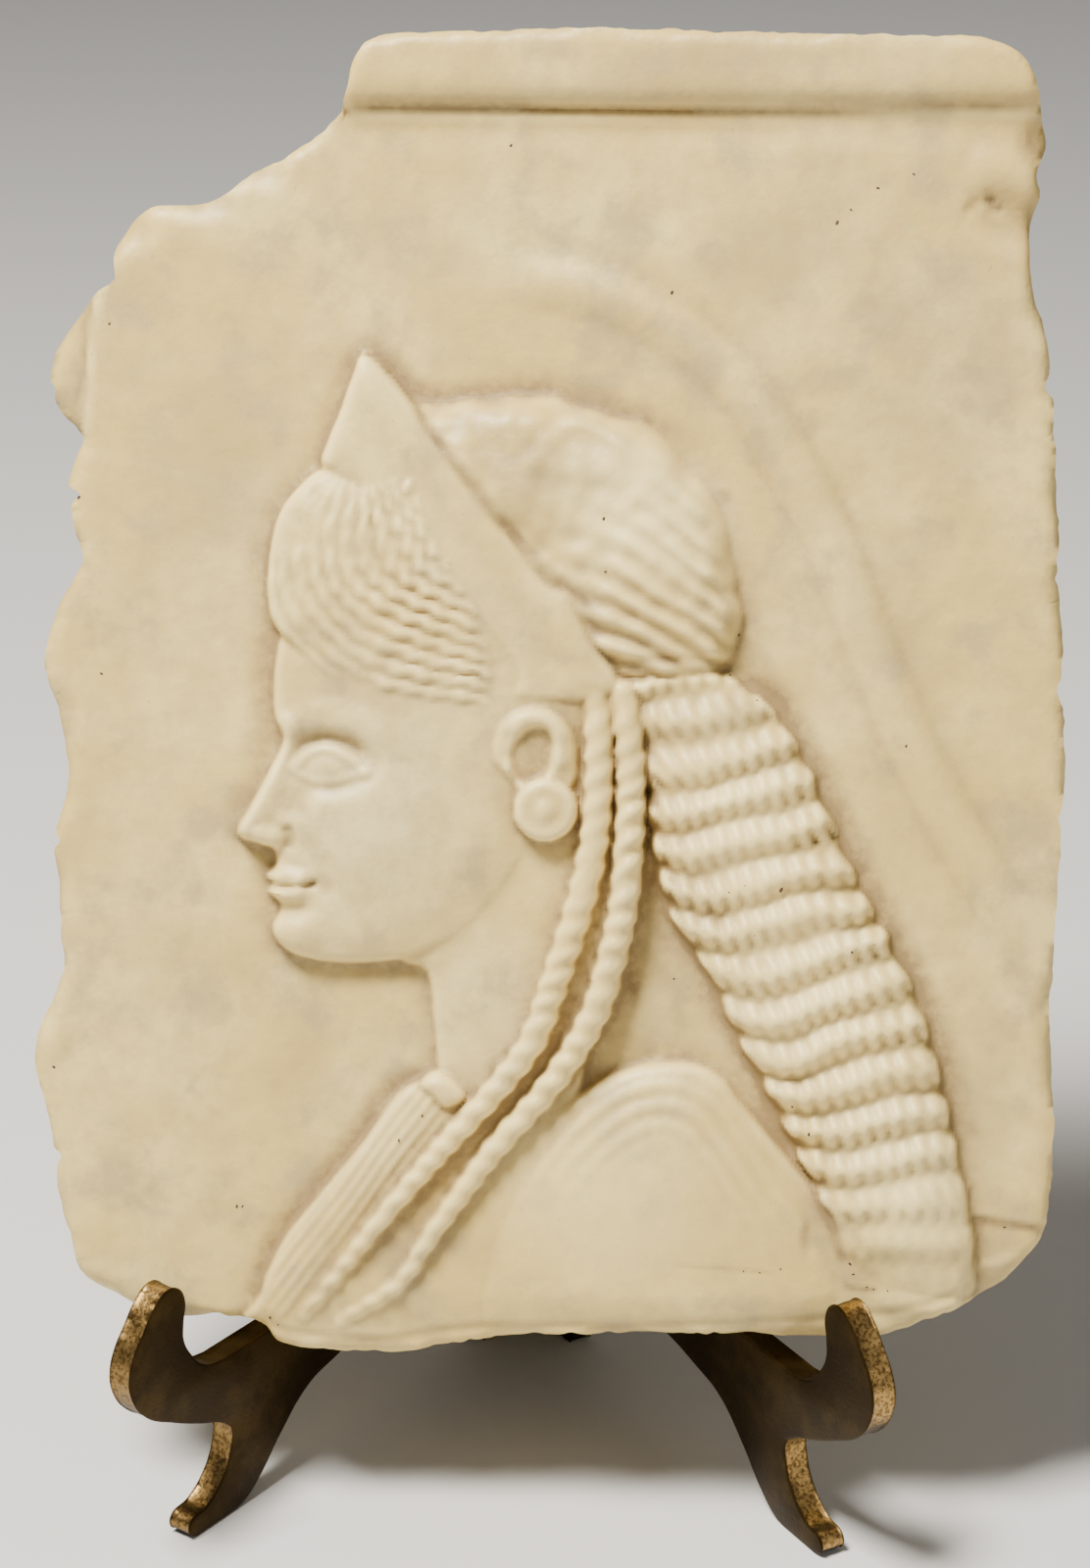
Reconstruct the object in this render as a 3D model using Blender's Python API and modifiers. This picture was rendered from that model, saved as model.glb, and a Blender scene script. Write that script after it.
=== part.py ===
"""A cast relief plaque of a head in profile, leaning in a small two-leaf brass easel.

Units are metres, +Z is up and the carved face looks towards -Y. The relief is worked out as a
height above the plaque's flat back, in millimetres, from the positions s (to the right of the
plaque's middle) and t (up from its lowest point), and is turned into metres when the mesh is made.
"""

from math import cos, pi, radians, sin, tan

import bmesh
import bpy
import numpy as np
from mathutils import Euler, Matrix, Vector

MM = 0.001

# Driving sizes, in millimetres and degrees.
PLAQUE_WIDTH = 179.0
PLAQUE_HEIGHT = 231.5
SLAB_THICKNESS = 18.0
RIM_ROUND = 4.0
BACK_ROUND = 1.6
LEAN_DEG = 17.0
BAND_BOTTOM = 216.0
BAND_PROUD = 3.2

LEAF_THICKNESS = 5.0
LEAF_OPEN_DEG = 33.5
ARM_TOP = 32.0
UPRIGHT_FOOT = 62.5
UPRIGHT_TOP = 124.0
UPRIGHT_WIDTH = 9.0
HOOK_CLEARANCE = 12.4
HOOK_RISE = 19.6
HINGE_TOP = 56.0
KNUCKLE_RADIUS = 4.0
KNUCKLE_COUNT = 5
PIN_RADIUS = 1.5
PIN_HEAD_RADIUS = 2.9
PIN_HEAD = 1.4
RUNNING_GAP = 0.3
REST_GAP = 0.5
STAND_OFFSET = -5.3

FINE_PITCH = 3.0
PLAIN_PITCH = 6.0

# The plaque's outline and carving are drawn at this size and stretched to the driving size. The
# slab stands on the two flat runs of its lower edge, at REST_T in the drawing.
DRAWN_WIDTH = 179.0
DRAWN_HEIGHT = 231.5
REST_T = 5.4

# The slab's side below its rounded rim: how far each ring stands in from the outline, and its
# height above the back.
SIDE_RINGS = ((0.2, 0.42 * SLAB_THICKNESS), (0.6, 0.8 * BACK_ROUND), (0.6 + BACK_ROUND, 0.0))


def start_scene():
    for old in list(bpy.data.objects):
        bpy.data.objects.remove(old, do_unlink=True)
    kept = bpy.data.collections.new("relief_plaque_on_stand")
    cutters = bpy.data.collections.new("cutters")
    bpy.context.scene.collection.children.link(kept)
    bpy.context.scene.collection.children.link(cutters)
    return kept, cutters


def finish(name, colour, roughness, metallic):
    material = bpy.data.materials.new(name)
    material.use_nodes = True
    shader = material.node_tree.nodes["Principled BSDF"]
    shader.inputs["Base Color"].default_value = (*colour, 1.0)
    shader.inputs["Roughness"].default_value = roughness
    shader.inputs["Metallic"].default_value = metallic
    return material


# Lines and distances on the plaque's face


def smooth_line(points, closed=False, steps=4):
    """A Catmull-Rom curve through the given points, as an array of (s, t)."""
    points = np.array(points, float)
    if closed:
        padded = np.vstack([points[-1], points, points[:2]])
    else:
        padded = np.vstack([2 * points[0] - points[1], points, 2 * points[-1] - points[-2]])
    made = []
    for before, start, end, after in zip(padded, padded[1:], padded[2:], padded[3:]):
        for x in np.arange(steps) / steps:
            made.append(
                start
                + 0.5 * x * (end - before)
                + x * x * (before - 2.5 * start + 2 * end - 0.5 * after)
                + 0.5 * x**3 * (3 * start - before - 3 * end + after)
            )
    if not closed:
        made.append(points[-1])
    return np.array(made)


def nearest(places, line, closed=False):
    """Distance from each place to a line, the length along it, and the side it lies on."""
    ends = np.roll(line, -1, axis=0) if closed else line[1:]
    starts = line if closed else line[:-1]
    runs = ends - starts
    lengths = np.maximum(np.hypot(*runs.T), 1e-9)
    before = np.concatenate([[0.0], np.cumsum(lengths)[:-1]])
    away = places[:, None, :] - starts[None]
    share = np.clip((away * runs).sum(2) / lengths**2, 0, 1)
    off = away - share[..., None] * runs
    square = (off**2).sum(2)
    best = square.argmin(1)
    row = np.arange(len(places))
    turn = runs[best, 0] * away[row, best, 1] - runs[best, 1] * away[row, best, 0]
    return np.sqrt(square[row, best]), before[best] + share[row, best] * lengths[best], np.sign(turn)


def depth_inside(places, outline):
    """How far each place lies inside a closed outline, negative outside."""
    distance = nearest(places, outline, closed=True)[0]
    s, t = places.T
    inside = np.zeros(len(places), bool)
    for (s0, t0), (s1, t1) in zip(outline, np.roll(outline, -1, axis=0)):
        crossing = (t0 > t) != (t1 > t)
        reach = s0 + (t - t0) * (s1 - s0) / np.where(t1 == t0, 1e-9, t1 - t0)
        inside ^= crossing & (s < reach)
    return np.where(inside, distance, -distance)


def swell(depth, width):
    """A quarter-round rise from 0 at the edge to 1 at width inside it."""
    return np.sqrt(1 - (1 - np.clip(depth / width, 0, 1)) ** 2)


def bump(distance, radius):
    """A soft round bump, 1 at its middle and 0 at its radius."""
    return np.clip(1 - (distance / radius) ** 2, 0, 1) ** 1.5


def step(value, start, end):
    """A smooth step from 0 at start to 1 at end."""
    x = np.clip((value - start) / (end - start), 0, 1)
    return x * x * (3 - 2 * x)


# The broken outline of the slab, clockwise from the left end of the band
OUTLINE = smooth_line(
    [
        (-36, 219), (-34.5, 225), (-30.5, 229.5), (-18, 230.5), (15, 231.5), (45, 230.7),
        (65, 230.7), (74, 229.8), (80, 225), (82.8, 215), (83.3, 211), (82, 206), (82.6, 203),
        (81, 198), (81.3, 190), (84.5, 178), (86.5, 160), (87.5, 138), (88.8, 122), (89.5, 108),
        (88.8, 88), (88.2, 68), (88.6, 50), (89.2, 42), (88.2, 26), (83.5, 18), (77, 12.5),
        (67.5, 8.6), (60, REST_T + 0.5), (52, REST_T), (38, REST_T), (22, 5.3), (0, 4.5),
        (-16, 2.1), (-25.7, 0.2), (-36, 0.5), (-45, 1.6), (-49, REST_T), (-55, REST_T + 0.2),
        (-65, REST_T), (-74, 8.6), (-80.5, 12.5), (-83.3, 19), (-85.5, 29), (-87.2, 42),
        (-89.4, 50), (-88.7, 56), (-85, 67), (-85.5, 81), (-86.2, 90), (-84, 99), (-85.2, 111),
        (-88.2, 121), (-86, 130), (-81.6, 138), (-83.2, 145), (-84.2, 152), (-81.7, 159.5),
        (-85.5, 163.5), (-88.6, 169.5), (-86, 176.5), (-79.5, 185), (-75.5, 193), (-70.5, 199.5),
        (-60, 200.7), (-53, 205.2), (-44.5, 209.5), (-38.5, 214.5),
    ],
    closed=True,
    steps=3,
)

# The head's own lines. The face is a plain classical profile built on three equal parts.
FACE_TOP = 129.0
FACE_LENGTH = 58.5
FACE_LINE = -46.5
PROFILE = [
    (0.00, -1.0), (0.10, 0.6), (0.20, 1.1), (0.29, 0.8), (0.355, -0.6), (0.44, 1.7),
    (0.53, 4.4), (0.61, 7.0), (0.650, 6.6), (0.672, 3.2), (0.685, 0.9), (0.725, 0.5),
    (0.760, 2.0), (0.783, 0.9), (0.808, 1.7), (0.850, -0.5), (0.905, 0.9), (0.955, 0.1),
    (1.00, -3.6),
]
FACE = smooth_line(
    [(FACE_LINE - out, FACE_TOP - FACE_LENGTH * part) for part, out in PROFILE]
    + [
        (-36, 69.4), (-27, 69.8), (-20, 71.5), (-12, 77), (-5, 86), (0, 96), (10, 118), (0, 136),
        (-20, 140), (-40, 135),
    ],
    closed=True,
)
NECK = smooth_line(
    [
        (-26, 72), (-20, 68), (-18.6, 60), (-18.2, 50), (-22, 44), (-10, 30), (4, 40), (9, 58),
        (15, 74), (16, 100), (10, 122), (-10, 118), (-20, 90),
    ],
    closed=True,
)
HAIRLINE = smooth_line(
    [(-47.9, 131.2), (-47, 127.2), (-42.1, 122.4), (-35, 116.5), (-26.5, 114), (-11, 112.5)]
)
FRINGE = smooth_line(
    [
        (-39.2, 155.4), (-43.2, 152.1), (-46.4, 148), (-47.5, 141.5), (-47.9, 131.2),
        (-47, 127.2), (-42.1, 122.4), (-35, 116.5), (-26.5, 114), (-11, 112.5), (-8, 122),
        (-16, 142), (-28, 160),
    ],
    closed=True,
)
DIADEM_BACK = smooth_line(
    [
        (-32, 174.6), (-24.2, 167), (-10.2, 149), (-5, 143), (0, 136.8), (4.2, 134.4),
        (8, 127), (11, 121.5),
    ]
)
DIADEM = smooth_line(
    [
        (-32, 174.6), (-24.2, 167), (-10.2, 149), (-5, 143), (0, 136.8), (4.2, 134.4),
        (8, 127), (12.6, 119.6), (9, 115.6), (-2, 115.2), (-7.8, 116), (-6.2, 121),
        (-11.8, 128.4), (-17.2, 134.6), (-28, 144.6), (-34.6, 152), (-39.4, 155.6),
        (-38.4, 160.2), (-36.4, 165.2), (-34.6, 170.4),
    ],
    closed=True,
)
CROWN = smooth_line(
    [
        (-28, 164), (-20.5, 166.6), (-6, 167.3), (3, 167.6), (14.7, 163.5), (24.8, 156),
        (29.5, 147), (31.8, 136), (32.7, 127), (30, 121), (18, 118), (6, 122), (-8, 138),
    ],
    closed=True,
)
LONG_HAIR = smooth_line(
    [
        (14, 116), (17.5, 106), (18.2, 92), (22, 80), (27, 70), (31.6, 61.3), (39, 49),
        (46.8, 34.5), (50, 24), (53.3, 15), (66, 12), (75.4, 15.5), (74.6, 27), (71.3, 42.4),
        (67.6, 56.8), (62.6, 70), (54.7, 84.3), (49.2, 96.2), (44, 107.3), (38, 116), (28, 121),
    ],
    closed=True,
)
HAIR_COURSE = smooth_line([(25, 119), (34, 96), (43, 74), (54, 50), (62, 28), (65, 12)])
TRESSES = (
    smooth_line(
        [
            (8.6, 114), (9.2, 100), (7.5, 85), (3, 71), (-1, 57.5), (-11.8, 44), (-25, 28.5),
            (-36, 13.5), (-41, 6.3),
        ]
    ),
    smooth_line(
        [
            (13.1, 115.5), (14.8, 99), (14.3, 80), (11.5, 67.5), (5.4, 52.6), (-8.2, 37.4),
            (-18.6, 22.6), (-24, 13.5), (-34.5, 7.5),
        ]
    ),
)
TORSO = smooth_line(
    [
        (-18, 48.5), (-23.7, 47.3), (-31.4, 37.3), (-39.7, 27.1), (-45.6, 19.2), (-49, 11),
        (-50, -2), (20, -4), (90, 2), (60, 20), (46, 34), (34.4, 47), (31, 51.2), (25.7, 53.4),
        (19, 53.3), (12.8, 51.4), (4, 47), (-4, 48),
    ],
    closed=True,
)
SHOULDER = smooth_line(
    [
        (-8.5, 26.3), (0, 40), (6.3, 46.5), (12.8, 51.4), (19.3, 53.3), (25.7, 53.4), (31, 51.2),
        (34.4, 47), (42, 36), (54, 14), (40, -6), (0, -8), (-12, 6),
    ],
    closed=True,
)
GARMENT = smooth_line(
    [
        (-18, 49.5), (-23.7, 47.3), (-31.4, 37.3), (-39.7, 27.1), (-45.6, 19.2), (-49.2, 10),
        (-50, 0), (-42, -2), (-38.5, 10), (-27.5, 25.5), (-15, 40),
    ],
    closed=True,
)
VEIL = smooth_line(
    [(-1.6, 189.8), (22.3, 179.5), (34.5, 166), (42.6, 146.7), (54.3, 124), (68.7, 98), (83.8, 70)]
)
TRESS_RADIUS = 2.7
TRESS_BED = 4.7
EAR_MIDDLE = (-2.6, 106.0)
EAR_RIM = smooth_line(
    [
        (-8.6, 104), (-9, 109), (-6.6, 113), (-2.2, 114.5), (1.8, 112.8), (4.2, 108.6),
        (4.4, 103.6),
    ]
)
EARRING_MIDDLE = (0.1, 97.3)
EARRING_RADIUS = 5.5


# Each carved form, as its height above the panel


def panel(places):
    """The panel's own surface: hand-made unevenness, the veil's faint ridge and the top band."""
    s, t = places.T
    height = 0.25 * np.sin(s / 17 + 1) * np.sin(t / 23) + 0.15 * np.sin(s / 9 - t / 13)
    distance, _, side = nearest(places, VEIL)
    height += 0.55 * bump(distance, 5.0) - 0.35 * step(distance * side, 0, 6)
    band = BAND_PROUD * step(t, BAND_BOTTOM + 0.6, BAND_BOTTOM + 4.5)
    groove = -1.3 * bump(t - BAND_BOTTOM - 0.2, 1.7)
    return height * (1 - step(t, BAND_BOTTOM - 8, BAND_BOTTOM)) + band + groove


def skin(places):
    """Face and neck, with a plain eye, nostril, mouth and jaw."""
    s, t = places.T
    face = 5.6 * swell(depth_inside(places, FACE), 15)
    neck = 4.4 * swell(depth_inside(places, NECK), 12)
    eye = np.hypot((s - FACE_LINE - 8.5) / 5.0, (t - FACE_TOP + 0.44 * FACE_LENGTH) / 2.4)
    face += np.where(face > 0, 0.9 * bump(eye, 1.0) - 0.7 * bump(eye - 1.25, 0.6), 0)
    mouth = np.hypot((s - FACE_LINE - 2.5) / 4.5, (t - FACE_TOP + 0.783 * FACE_LENGTH) / 0.9)
    face -= np.where(face > 0.7, 0.7 * bump(mouth, 1.0), 0)
    return np.maximum(face, neck)


def fringe(places):
    """The mass of locks over the forehead, lower along the hairline."""
    depth = depth_inside(places, FRINGE)
    from_skin = nearest(places, HAIRLINE)[0]
    return np.where(depth > 0, 5.6 * swell(depth, 6) + 1.0 * swell(from_skin, 12), 0)


def diadem(places):
    """A smooth upright band, hollowed a little, with a raised rim at the back."""
    depth = depth_inside(places, DIADEM)
    rim = nearest(places, DIADEM_BACK)[0]
    return np.where(depth > 0, 7.4 * swell(depth, 2.6) - 0.7 * step(rim, 1.5, 6), 0)


def crown(places):
    """The hair on the skull, in soft slanting waves that wear away towards the top."""
    s, t = places.T
    depth = depth_inside(places, CROWN)
    waves = 0.5 * np.cos(2 * pi * (0.5 * s + 0.87 * t + 0.012 * (s - 8) ** 2) / 5.3)
    worn = 1 - step(t - 0.5 * s, 132, 152)
    return np.where(depth > 0, 6.6 * swell(depth, 13) + waves * worn * step(depth, 0, 3), 0)


def long_hair(places):
    """The hair down the back, in thirteen crimped rows."""
    depth = depth_inside(places, LONG_HAIR)
    distance, along, side = nearest(places, HAIR_COURSE)
    across = distance * side
    phase = (along - 0.22 * across) / 7.4
    rows = 0.9 * (1 - 2 * (phase - np.floor(phase))) * step(along, -1, 2) * step(118 - along, 0, 10)
    end = 0.3 + 0.7 * step(places[:, 1], 10, 36)
    return np.where(depth > 0, (6.3 * swell(depth, 8) + rows * step(depth, 0, 1.5)) * end, 0)


def tresses(places):
    """Two twisted locks that fall in front of the shoulder."""
    height = np.zeros(len(places))
    for line in TRESSES:
        distance, along, _ = nearest(places, line)
        radius = TRESS_RADIUS * (1 - 0.003 * along)
        rope = TRESS_BED + radius * np.sqrt(np.clip(1 - (distance / radius) ** 2, 0, 1))
        height = np.maximum(height, np.where(distance < radius, rope, 0))
    return height


def clothing(places):
    """The bust: shoulder with its folds, raised front and the small knot at the neckline."""
    s, t = places.T
    torso = 3.6 * swell(depth_inside(places, TORSO), 5)
    depth = depth_inside(places, SHOULDER)
    shoulder = 5.2 * swell(depth, 13) - 0.25 * np.cos(2 * pi * depth / 3.2) * step(14 - depth, 0, 6)
    pleats = depth_inside(places, GARMENT)
    front = 4.3 * swell(pleats, 4)
    knot = 5.6 * bump(np.hypot(s + 18.6, t - 48.2), 3.4)
    height = np.maximum(torso, np.where(depth > 0, shoulder, 0))
    return np.maximum(np.maximum(height, np.where(pleats > 0, front, 0)), knot)


def ear(places):
    """The ear with its rolled rim and hollow, and the round earring below it."""
    away = np.hypot((places[:, 0] - EAR_MIDDLE[0]) / 6.4, (places[:, 1] - EAR_MIDDLE[1]) / 8.4)
    shell = 5.4 * (away < 1) - 1.2 * bump(away, 0.75)
    rim = 5.4 + 1.9 * bump(nearest(places, EAR_RIM)[0], 2.2)
    ring = np.hypot(places[:, 0] - EARRING_MIDDLE[0], places[:, 1] - EARRING_MIDDLE[1])
    disc = 7.6 * swell(EARRING_RADIUS - ring, 2.2) + 0.7 * bump(ring, 2.4)
    rim = np.where(nearest(places, EAR_RIM)[0] < 2.2, rim, 0)
    return np.maximum(np.maximum(shell, rim), np.where(ring < EARRING_RADIUS, disc, 0))


def chips(places):
    """What is knocked off: a corner low on the right, a spall at the top right, a ledge on the left."""
    s, t = places.T
    corner = -2.4 * step(s + 0.4 * t, 86.5, 88.5) * step(29 - t, 0, 1.2) * step(s, 72, 76)
    spall = -2.6 * step(s, 72, 80) * bump(t - 201.5 + 0.15 * (s - 78), 3.6)
    ledge = -8 * step(-s, 81.5, 84.5) * step(t, 158.5, 161) * step(188 - t, 0, 12)
    return corner + spall + ledge


def carving(places):
    """Height of the carved face above the flat back, before the rim is rounded."""
    forms = (skin, clothing, long_hair, crown, fringe, tresses, ear, diadem)
    raised = np.max([form(places) for form in forms], axis=0)
    raised = np.maximum(raised, 0) * (0.45 + 0.55 * step(places[:, 1], 2, 14))
    return SLAB_THICKNESS + panel(places) + raised + chips(places)


def relief_height(places):
    """The finished face: each place takes the mean of the carving around it, then the rim's round."""
    spread = FINE_PITCH / 3
    shifts = [(across * spread, up * spread) for across in (-1, 0, 1) for up in (-1, 0, 1)]
    body = np.mean([carving(places + shift) for shift in shifts], axis=0)
    depth = np.clip(depth_inside(places, OUTLINE), 0, RIM_ROUND)
    return body - RIM_ROUND + np.sqrt(RIM_ROUND**2 - (RIM_ROUND - depth) ** 2)


# The plaque


def grid_lines(low, high, fine_low, fine_high):
    """Grid positions that are close together over the carving and wider apart beside it."""
    places = [low]
    while places[-1] < high:
        fine = fine_low < places[-1] < fine_high
        places.append(places[-1] + (FINE_PITCH if fine else PLAIN_PITCH))
    return np.array(places)


def ordered_rim(mesh):
    """The open edge of the grid as one loop of vertices."""
    open_edges = [edge for edge in mesh.edges if edge.is_boundary]
    first = open_edges[0]
    loop = [first.verts[0], first.verts[1]]
    last = first
    while True:
        following = next(e for e in loop[-1].link_edges if e.is_boundary and e is not last)
        last = following
        vertex = following.other_vert(loop[-1])
        if vertex is loop[0]:
            return loop
        loop.append(vertex)


def on_line(line, length_along):
    """The places at given lengths along a closed line."""
    ring = np.vstack([line, line[:1]])
    lengths = np.concatenate([[0.0], np.cumsum(np.hypot(*np.diff(ring, axis=0).T))])
    wrapped = np.mod(length_along, lengths[-1])
    return np.column_stack([np.interp(wrapped, lengths, ring[:, k]) for k in (0, 1)])


def fit_rim(mesh, outline):
    """Moves the grid's stepped edge onto the outline and spreads it evenly along it."""
    loop = ordered_rim(mesh)
    places = np.array([vertex.co[:2] for vertex in loop])
    along = nearest(places, outline, closed=True)[1]
    total = np.hypot(*(np.roll(outline, -1, axis=0) - outline).T).sum()
    along = np.unwrap(along, period=total)
    turns = total * np.sign(along[-1] - along[0])
    for _ in range(12):
        before = np.roll(along, 1) - np.eye(len(along))[0] * turns
        after = np.roll(along, -1) + np.eye(len(along))[-1] * turns
        along = 0.5 * along + 0.25 * (before + after)
    for vertex, place in zip(loop, on_line(outline, along)):
        vertex.co[:2] = place
    return loop


def relax_beside(mesh, loop, rounds):
    """Evens out the grid next to its moved edge."""
    edge = set(loop)
    near = {v for e in mesh.edges for v in e.verts if edge & set(e.verts)}
    near |= {v for e in mesh.edges for v in e.verts if near & set(e.verts)}
    inner = list(near - edge)
    for _ in range(rounds):
        bmesh.ops.smooth_vert(mesh, verts=inner, factor=0.5, use_axis_x=True, use_axis_y=True)


def wall_ring(mesh, loop, inset, floor, height):
    """Extrudes the open edge to the next ring of the slab's side, a little further in. Behind the
    carving the lower edge is cut level, so that the slab stands on the easel's arms."""
    edges = [mesh.edges.get((a, b)) for a, b in zip(loop, loop[1:] + loop[:1])]
    places = np.array([vertex.co[:2] for vertex in loop])
    tangent = np.roll(places, -1, axis=0) - np.roll(places, 1, axis=0)
    tangent /= np.hypot(*tangent.T)[:, None]
    area = np.sum(places[:, 0] * np.roll(places[:, 1], -1) - np.roll(places[:, 0], -1) * places[:, 1])
    inward = np.sign(area) * np.column_stack([-tangent[:, 1], tangent[:, 0]])
    made = bmesh.ops.extrude_edge_only(mesh, edges=edges)["geom"]
    fresh = {v for v in made if isinstance(v, bmesh.types.BMVert)}
    ring = []
    for vertex, way in zip(loop, inward):
        copy = next(e.other_vert(vertex) for e in vertex.link_edges if e.other_vert(vertex) in fresh)
        copy.co = (vertex.co.x + inset * way[0], max(vertex.co.y + inset * way[1], floor), height)
        ring.append(copy)
    return ring


def make_plaque(collection):
    s_lines = grid_lines(-DRAWN_WIDTH / 2 - 2, DRAWN_WIDTH / 2 + 2, -58, 78)
    t_lines = grid_lines(-2, DRAWN_HEIGHT + 2, 6, 178)
    mesh = bmesh.new()
    bmesh.ops.create_grid(mesh, x_segments=len(s_lines) - 1, y_segments=len(t_lines) - 1, size=1)
    for vertex in mesh.verts:
        column = round((vertex.co.x + 1) / 2 * (len(s_lines) - 1))
        row = round((vertex.co.y + 1) / 2 * (len(t_lines) - 1))
        vertex.co = (s_lines[column], t_lines[row], 0)
    centres = np.array([face.calc_center_median()[:2] for face in mesh.faces])
    outside = depth_inside(centres, OUTLINE) < 0.2 * PLAIN_PITCH
    faces = [face for face, out in zip(mesh.faces, outside) if out]
    bmesh.ops.delete(mesh, geom=faces, context="FACES")
    loop = fit_rim(mesh, OUTLINE)
    relax_beside(mesh, loop, rounds=6)
    places = np.array([vertex.co[:2] for vertex in mesh.verts])
    for vertex, height in zip(mesh.verts, relief_height(places)):
        vertex.co.z = height
    last_inset = 0.0
    for inset, height in SIDE_RINGS:
        loop = wall_ring(mesh, loop, inset - last_inset, REST_T + inset, height)
        last_inset = inset
    mesh.faces.new(loop)
    bmesh.ops.recalc_face_normals(mesh, faces=mesh.faces)
    across = PLAQUE_WIDTH / DRAWN_WIDTH * MM
    up = PLAQUE_HEIGHT / DRAWN_HEIGHT * MM
    for vertex in mesh.verts:
        vertex.co = (vertex.co.x * across, -vertex.co.z * MM, vertex.co.y * up)
    data = bpy.data.meshes.new("relief_plaque")
    mesh.to_mesh(data)
    mesh.free()
    if sum(p.normal.y * p.area for p in data.polygons if abs(p.normal.y) > 0.999) < 0:
        data.flip_normals()
    data.shade_smooth()
    data.set_sharp_from_angle(angle=radians(50))
    data.materials.append(finish("cast_marble", (0.72, 0.63, 0.49), 0.5, 0.0))
    plaque = bpy.data.objects.new("relief_plaque", data)
    collection.objects.link(plaque)
    return plaque


def seat_plaque(plaque):
    """Leans the plaque back on the uprights, with its lower back edge on the two arms."""
    lean = radians(LEAN_DEG)
    up = PLAQUE_HEIGHT / DRAWN_HEIGHT * cos(lean)
    lowest = min((REST_T + inset) * up + height * sin(lean) for inset, height in SIDE_RINGS)
    low_z = ARM_TOP + REST_GAP - lowest
    foot_y = -UPRIGHT_FOOT * cos(radians(LEAF_OPEN_DEG))
    low_y = foot_y - REST_GAP / cos(lean) - (ARM_TOP - low_z) * tan(lean)
    plaque.location = (0, low_y * MM, low_z * MM)
    plaque.rotation_euler = Euler((-lean, 0, 0))


# The stand


def leaf_outline():
    """The leaf's outline in its own plane, as (u forward from the hinge, v up from the table)
    and whether the run to the next point is straight. The foot and the hook keep their shape in
    front of the slab; heights below the tip are shares of the arm's height."""
    lean = radians(LEAN_DEG)
    turn = cos(radians(LEAF_OPEN_DEG))
    slope = tan(lean) / turn
    edge = KNUCKLE_RADIUS + 2 * RUNNING_GAP
    hook = UPRIGHT_FOOT + (SLAB_THICKNESS / cos(lean) + HOOK_CLEARANCE) / turn
    tip = ARM_TOP + HOOK_RISE
    top_u = UPRIGHT_FOOT - slope * (UPRIGHT_TOP - ARM_TOP)
    back_u = top_u - UPRIGHT_WIDTH
    rear_foot = [(edge, HINGE_TOP + 4, True), (edge, 0, True), (edge + 10, 0, False)]
    arch = [
        (0.125, 0.13), (0.18, 0.353), (0.265, 0.524), (0.36, 0.612), (0.464, 0.612),
        (0.574, 0.556), (0.657, 0.488), (0.741, 0.294), (0.798, 0.124), (0.845, 0.026),
    ]
    sole = [(hook - 11.3, 0, True), (hook - 1.8, 0, False)]
    front = [
        (0.5, 0.047), (0.1, 0.115), (-4.5, 0.156), (-8.7, 0.259), (-11.1, 0.4), (-11.5, 0.535),
        (-9.1, 0.606), (-4.3, 0.676), (3.1, 0.794), (10.3, 0.941), (13.5, 1.1), (13.9, 1.224),
        (12.3, 1.34), (8.7, 1.46),
    ]
    lip = [
        (hook + 4.4, tip - 0.9), (hook + 1.4, tip + 0.5), (hook - 0.1, tip - 1.4),
        (hook - 1.5, tip - 4.4), (hook - 0.4, tip - 8), (hook - 0.3, tip - 11),
        (hook - 1.9, tip - 14.6), (hook - 5.1, ARM_TOP + 1.4),
    ]
    arm = [(hook - 10, ARM_TOP, True), (UPRIGHT_FOOT + 2, ARM_TOP, False)]
    upright = [(UPRIGHT_FOOT - slope * 2, ARM_TOP + 2, True), (top_u, UPRIGHT_TOP, False)]
    back = [
        (top_u - 0.25 * UPRIGHT_WIDTH, UPRIGHT_TOP + 4.6),
        (top_u - 0.8 * UPRIGHT_WIDTH, UPRIGHT_TOP + 4.2),
        (back_u, UPRIGHT_TOP - 1), (back_u + 4.5, UPRIGHT_TOP - 16),
        (back_u + 7.5, UPRIGHT_TOP - 36), (back_u + 3.5, HINGE_TOP + 15),
        (edge + 12, HINGE_TOP + 6.5),
    ]
    under = [(edge + share * (hook - edge), ARM_TOP * rise, False) for share, rise in arch]
    outer = [(hook + ahead, ARM_TOP * rise, False) for ahead, rise in front]
    inner, behind = ([(*place, False) for place in run] for run in (lip, back))
    return rear_foot + under + sole + outer + inner + arm + upright + behind


def make_leaf_plate(name, side):
    """The leaf's flat plate, standing beside the hinge's axis."""
    curve = bpy.data.curves.new(name, "CURVE")
    curve.dimensions = "2D"
    curve.fill_mode = "BOTH"
    curve.resolution_u = 2
    curve.extrude = LEAF_THICKNESS / 2 * MM
    points = leaf_outline()
    spline = curve.splines.new("BEZIER")
    spline.bezier_points.add(len(points) - 1)
    spline.use_cyclic_u = True
    for index, (point, (u, v, straight)) in enumerate(zip(spline.bezier_points, points)):
        point.co = (u * MM, v * MM, 0)
        point.handle_left_type = "VECTOR" if points[index - 1][2] else "AUTO"
        point.handle_right_type = "VECTOR" if straight else "AUTO"
    drawn = bpy.data.objects.new(name + "_outline", curve)
    bpy.context.scene.collection.objects.link(drawn)
    bpy.context.view_layer.update()
    data = bpy.data.meshes.new_from_object(drawn.evaluated_get(bpy.context.evaluated_depsgraph_get()))
    bpy.data.objects.remove(drawn)
    mesh = bmesh.new()
    mesh.from_mesh(data)
    bmesh.ops.remove_doubles(mesh, verts=mesh.verts, dist=0.00001)
    offset = side * LEAF_THICKNESS / 2 * MM
    stand_up = Matrix.Translation((0, offset, 0)) @ Matrix.Rotation(pi / 2, 4, "X")
    bmesh.ops.transform(mesh, matrix=stand_up, verts=mesh.verts)
    mesh.to_mesh(data)
    mesh.free()
    data.name = name
    return bpy.data.objects.new(name, data)


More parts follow.
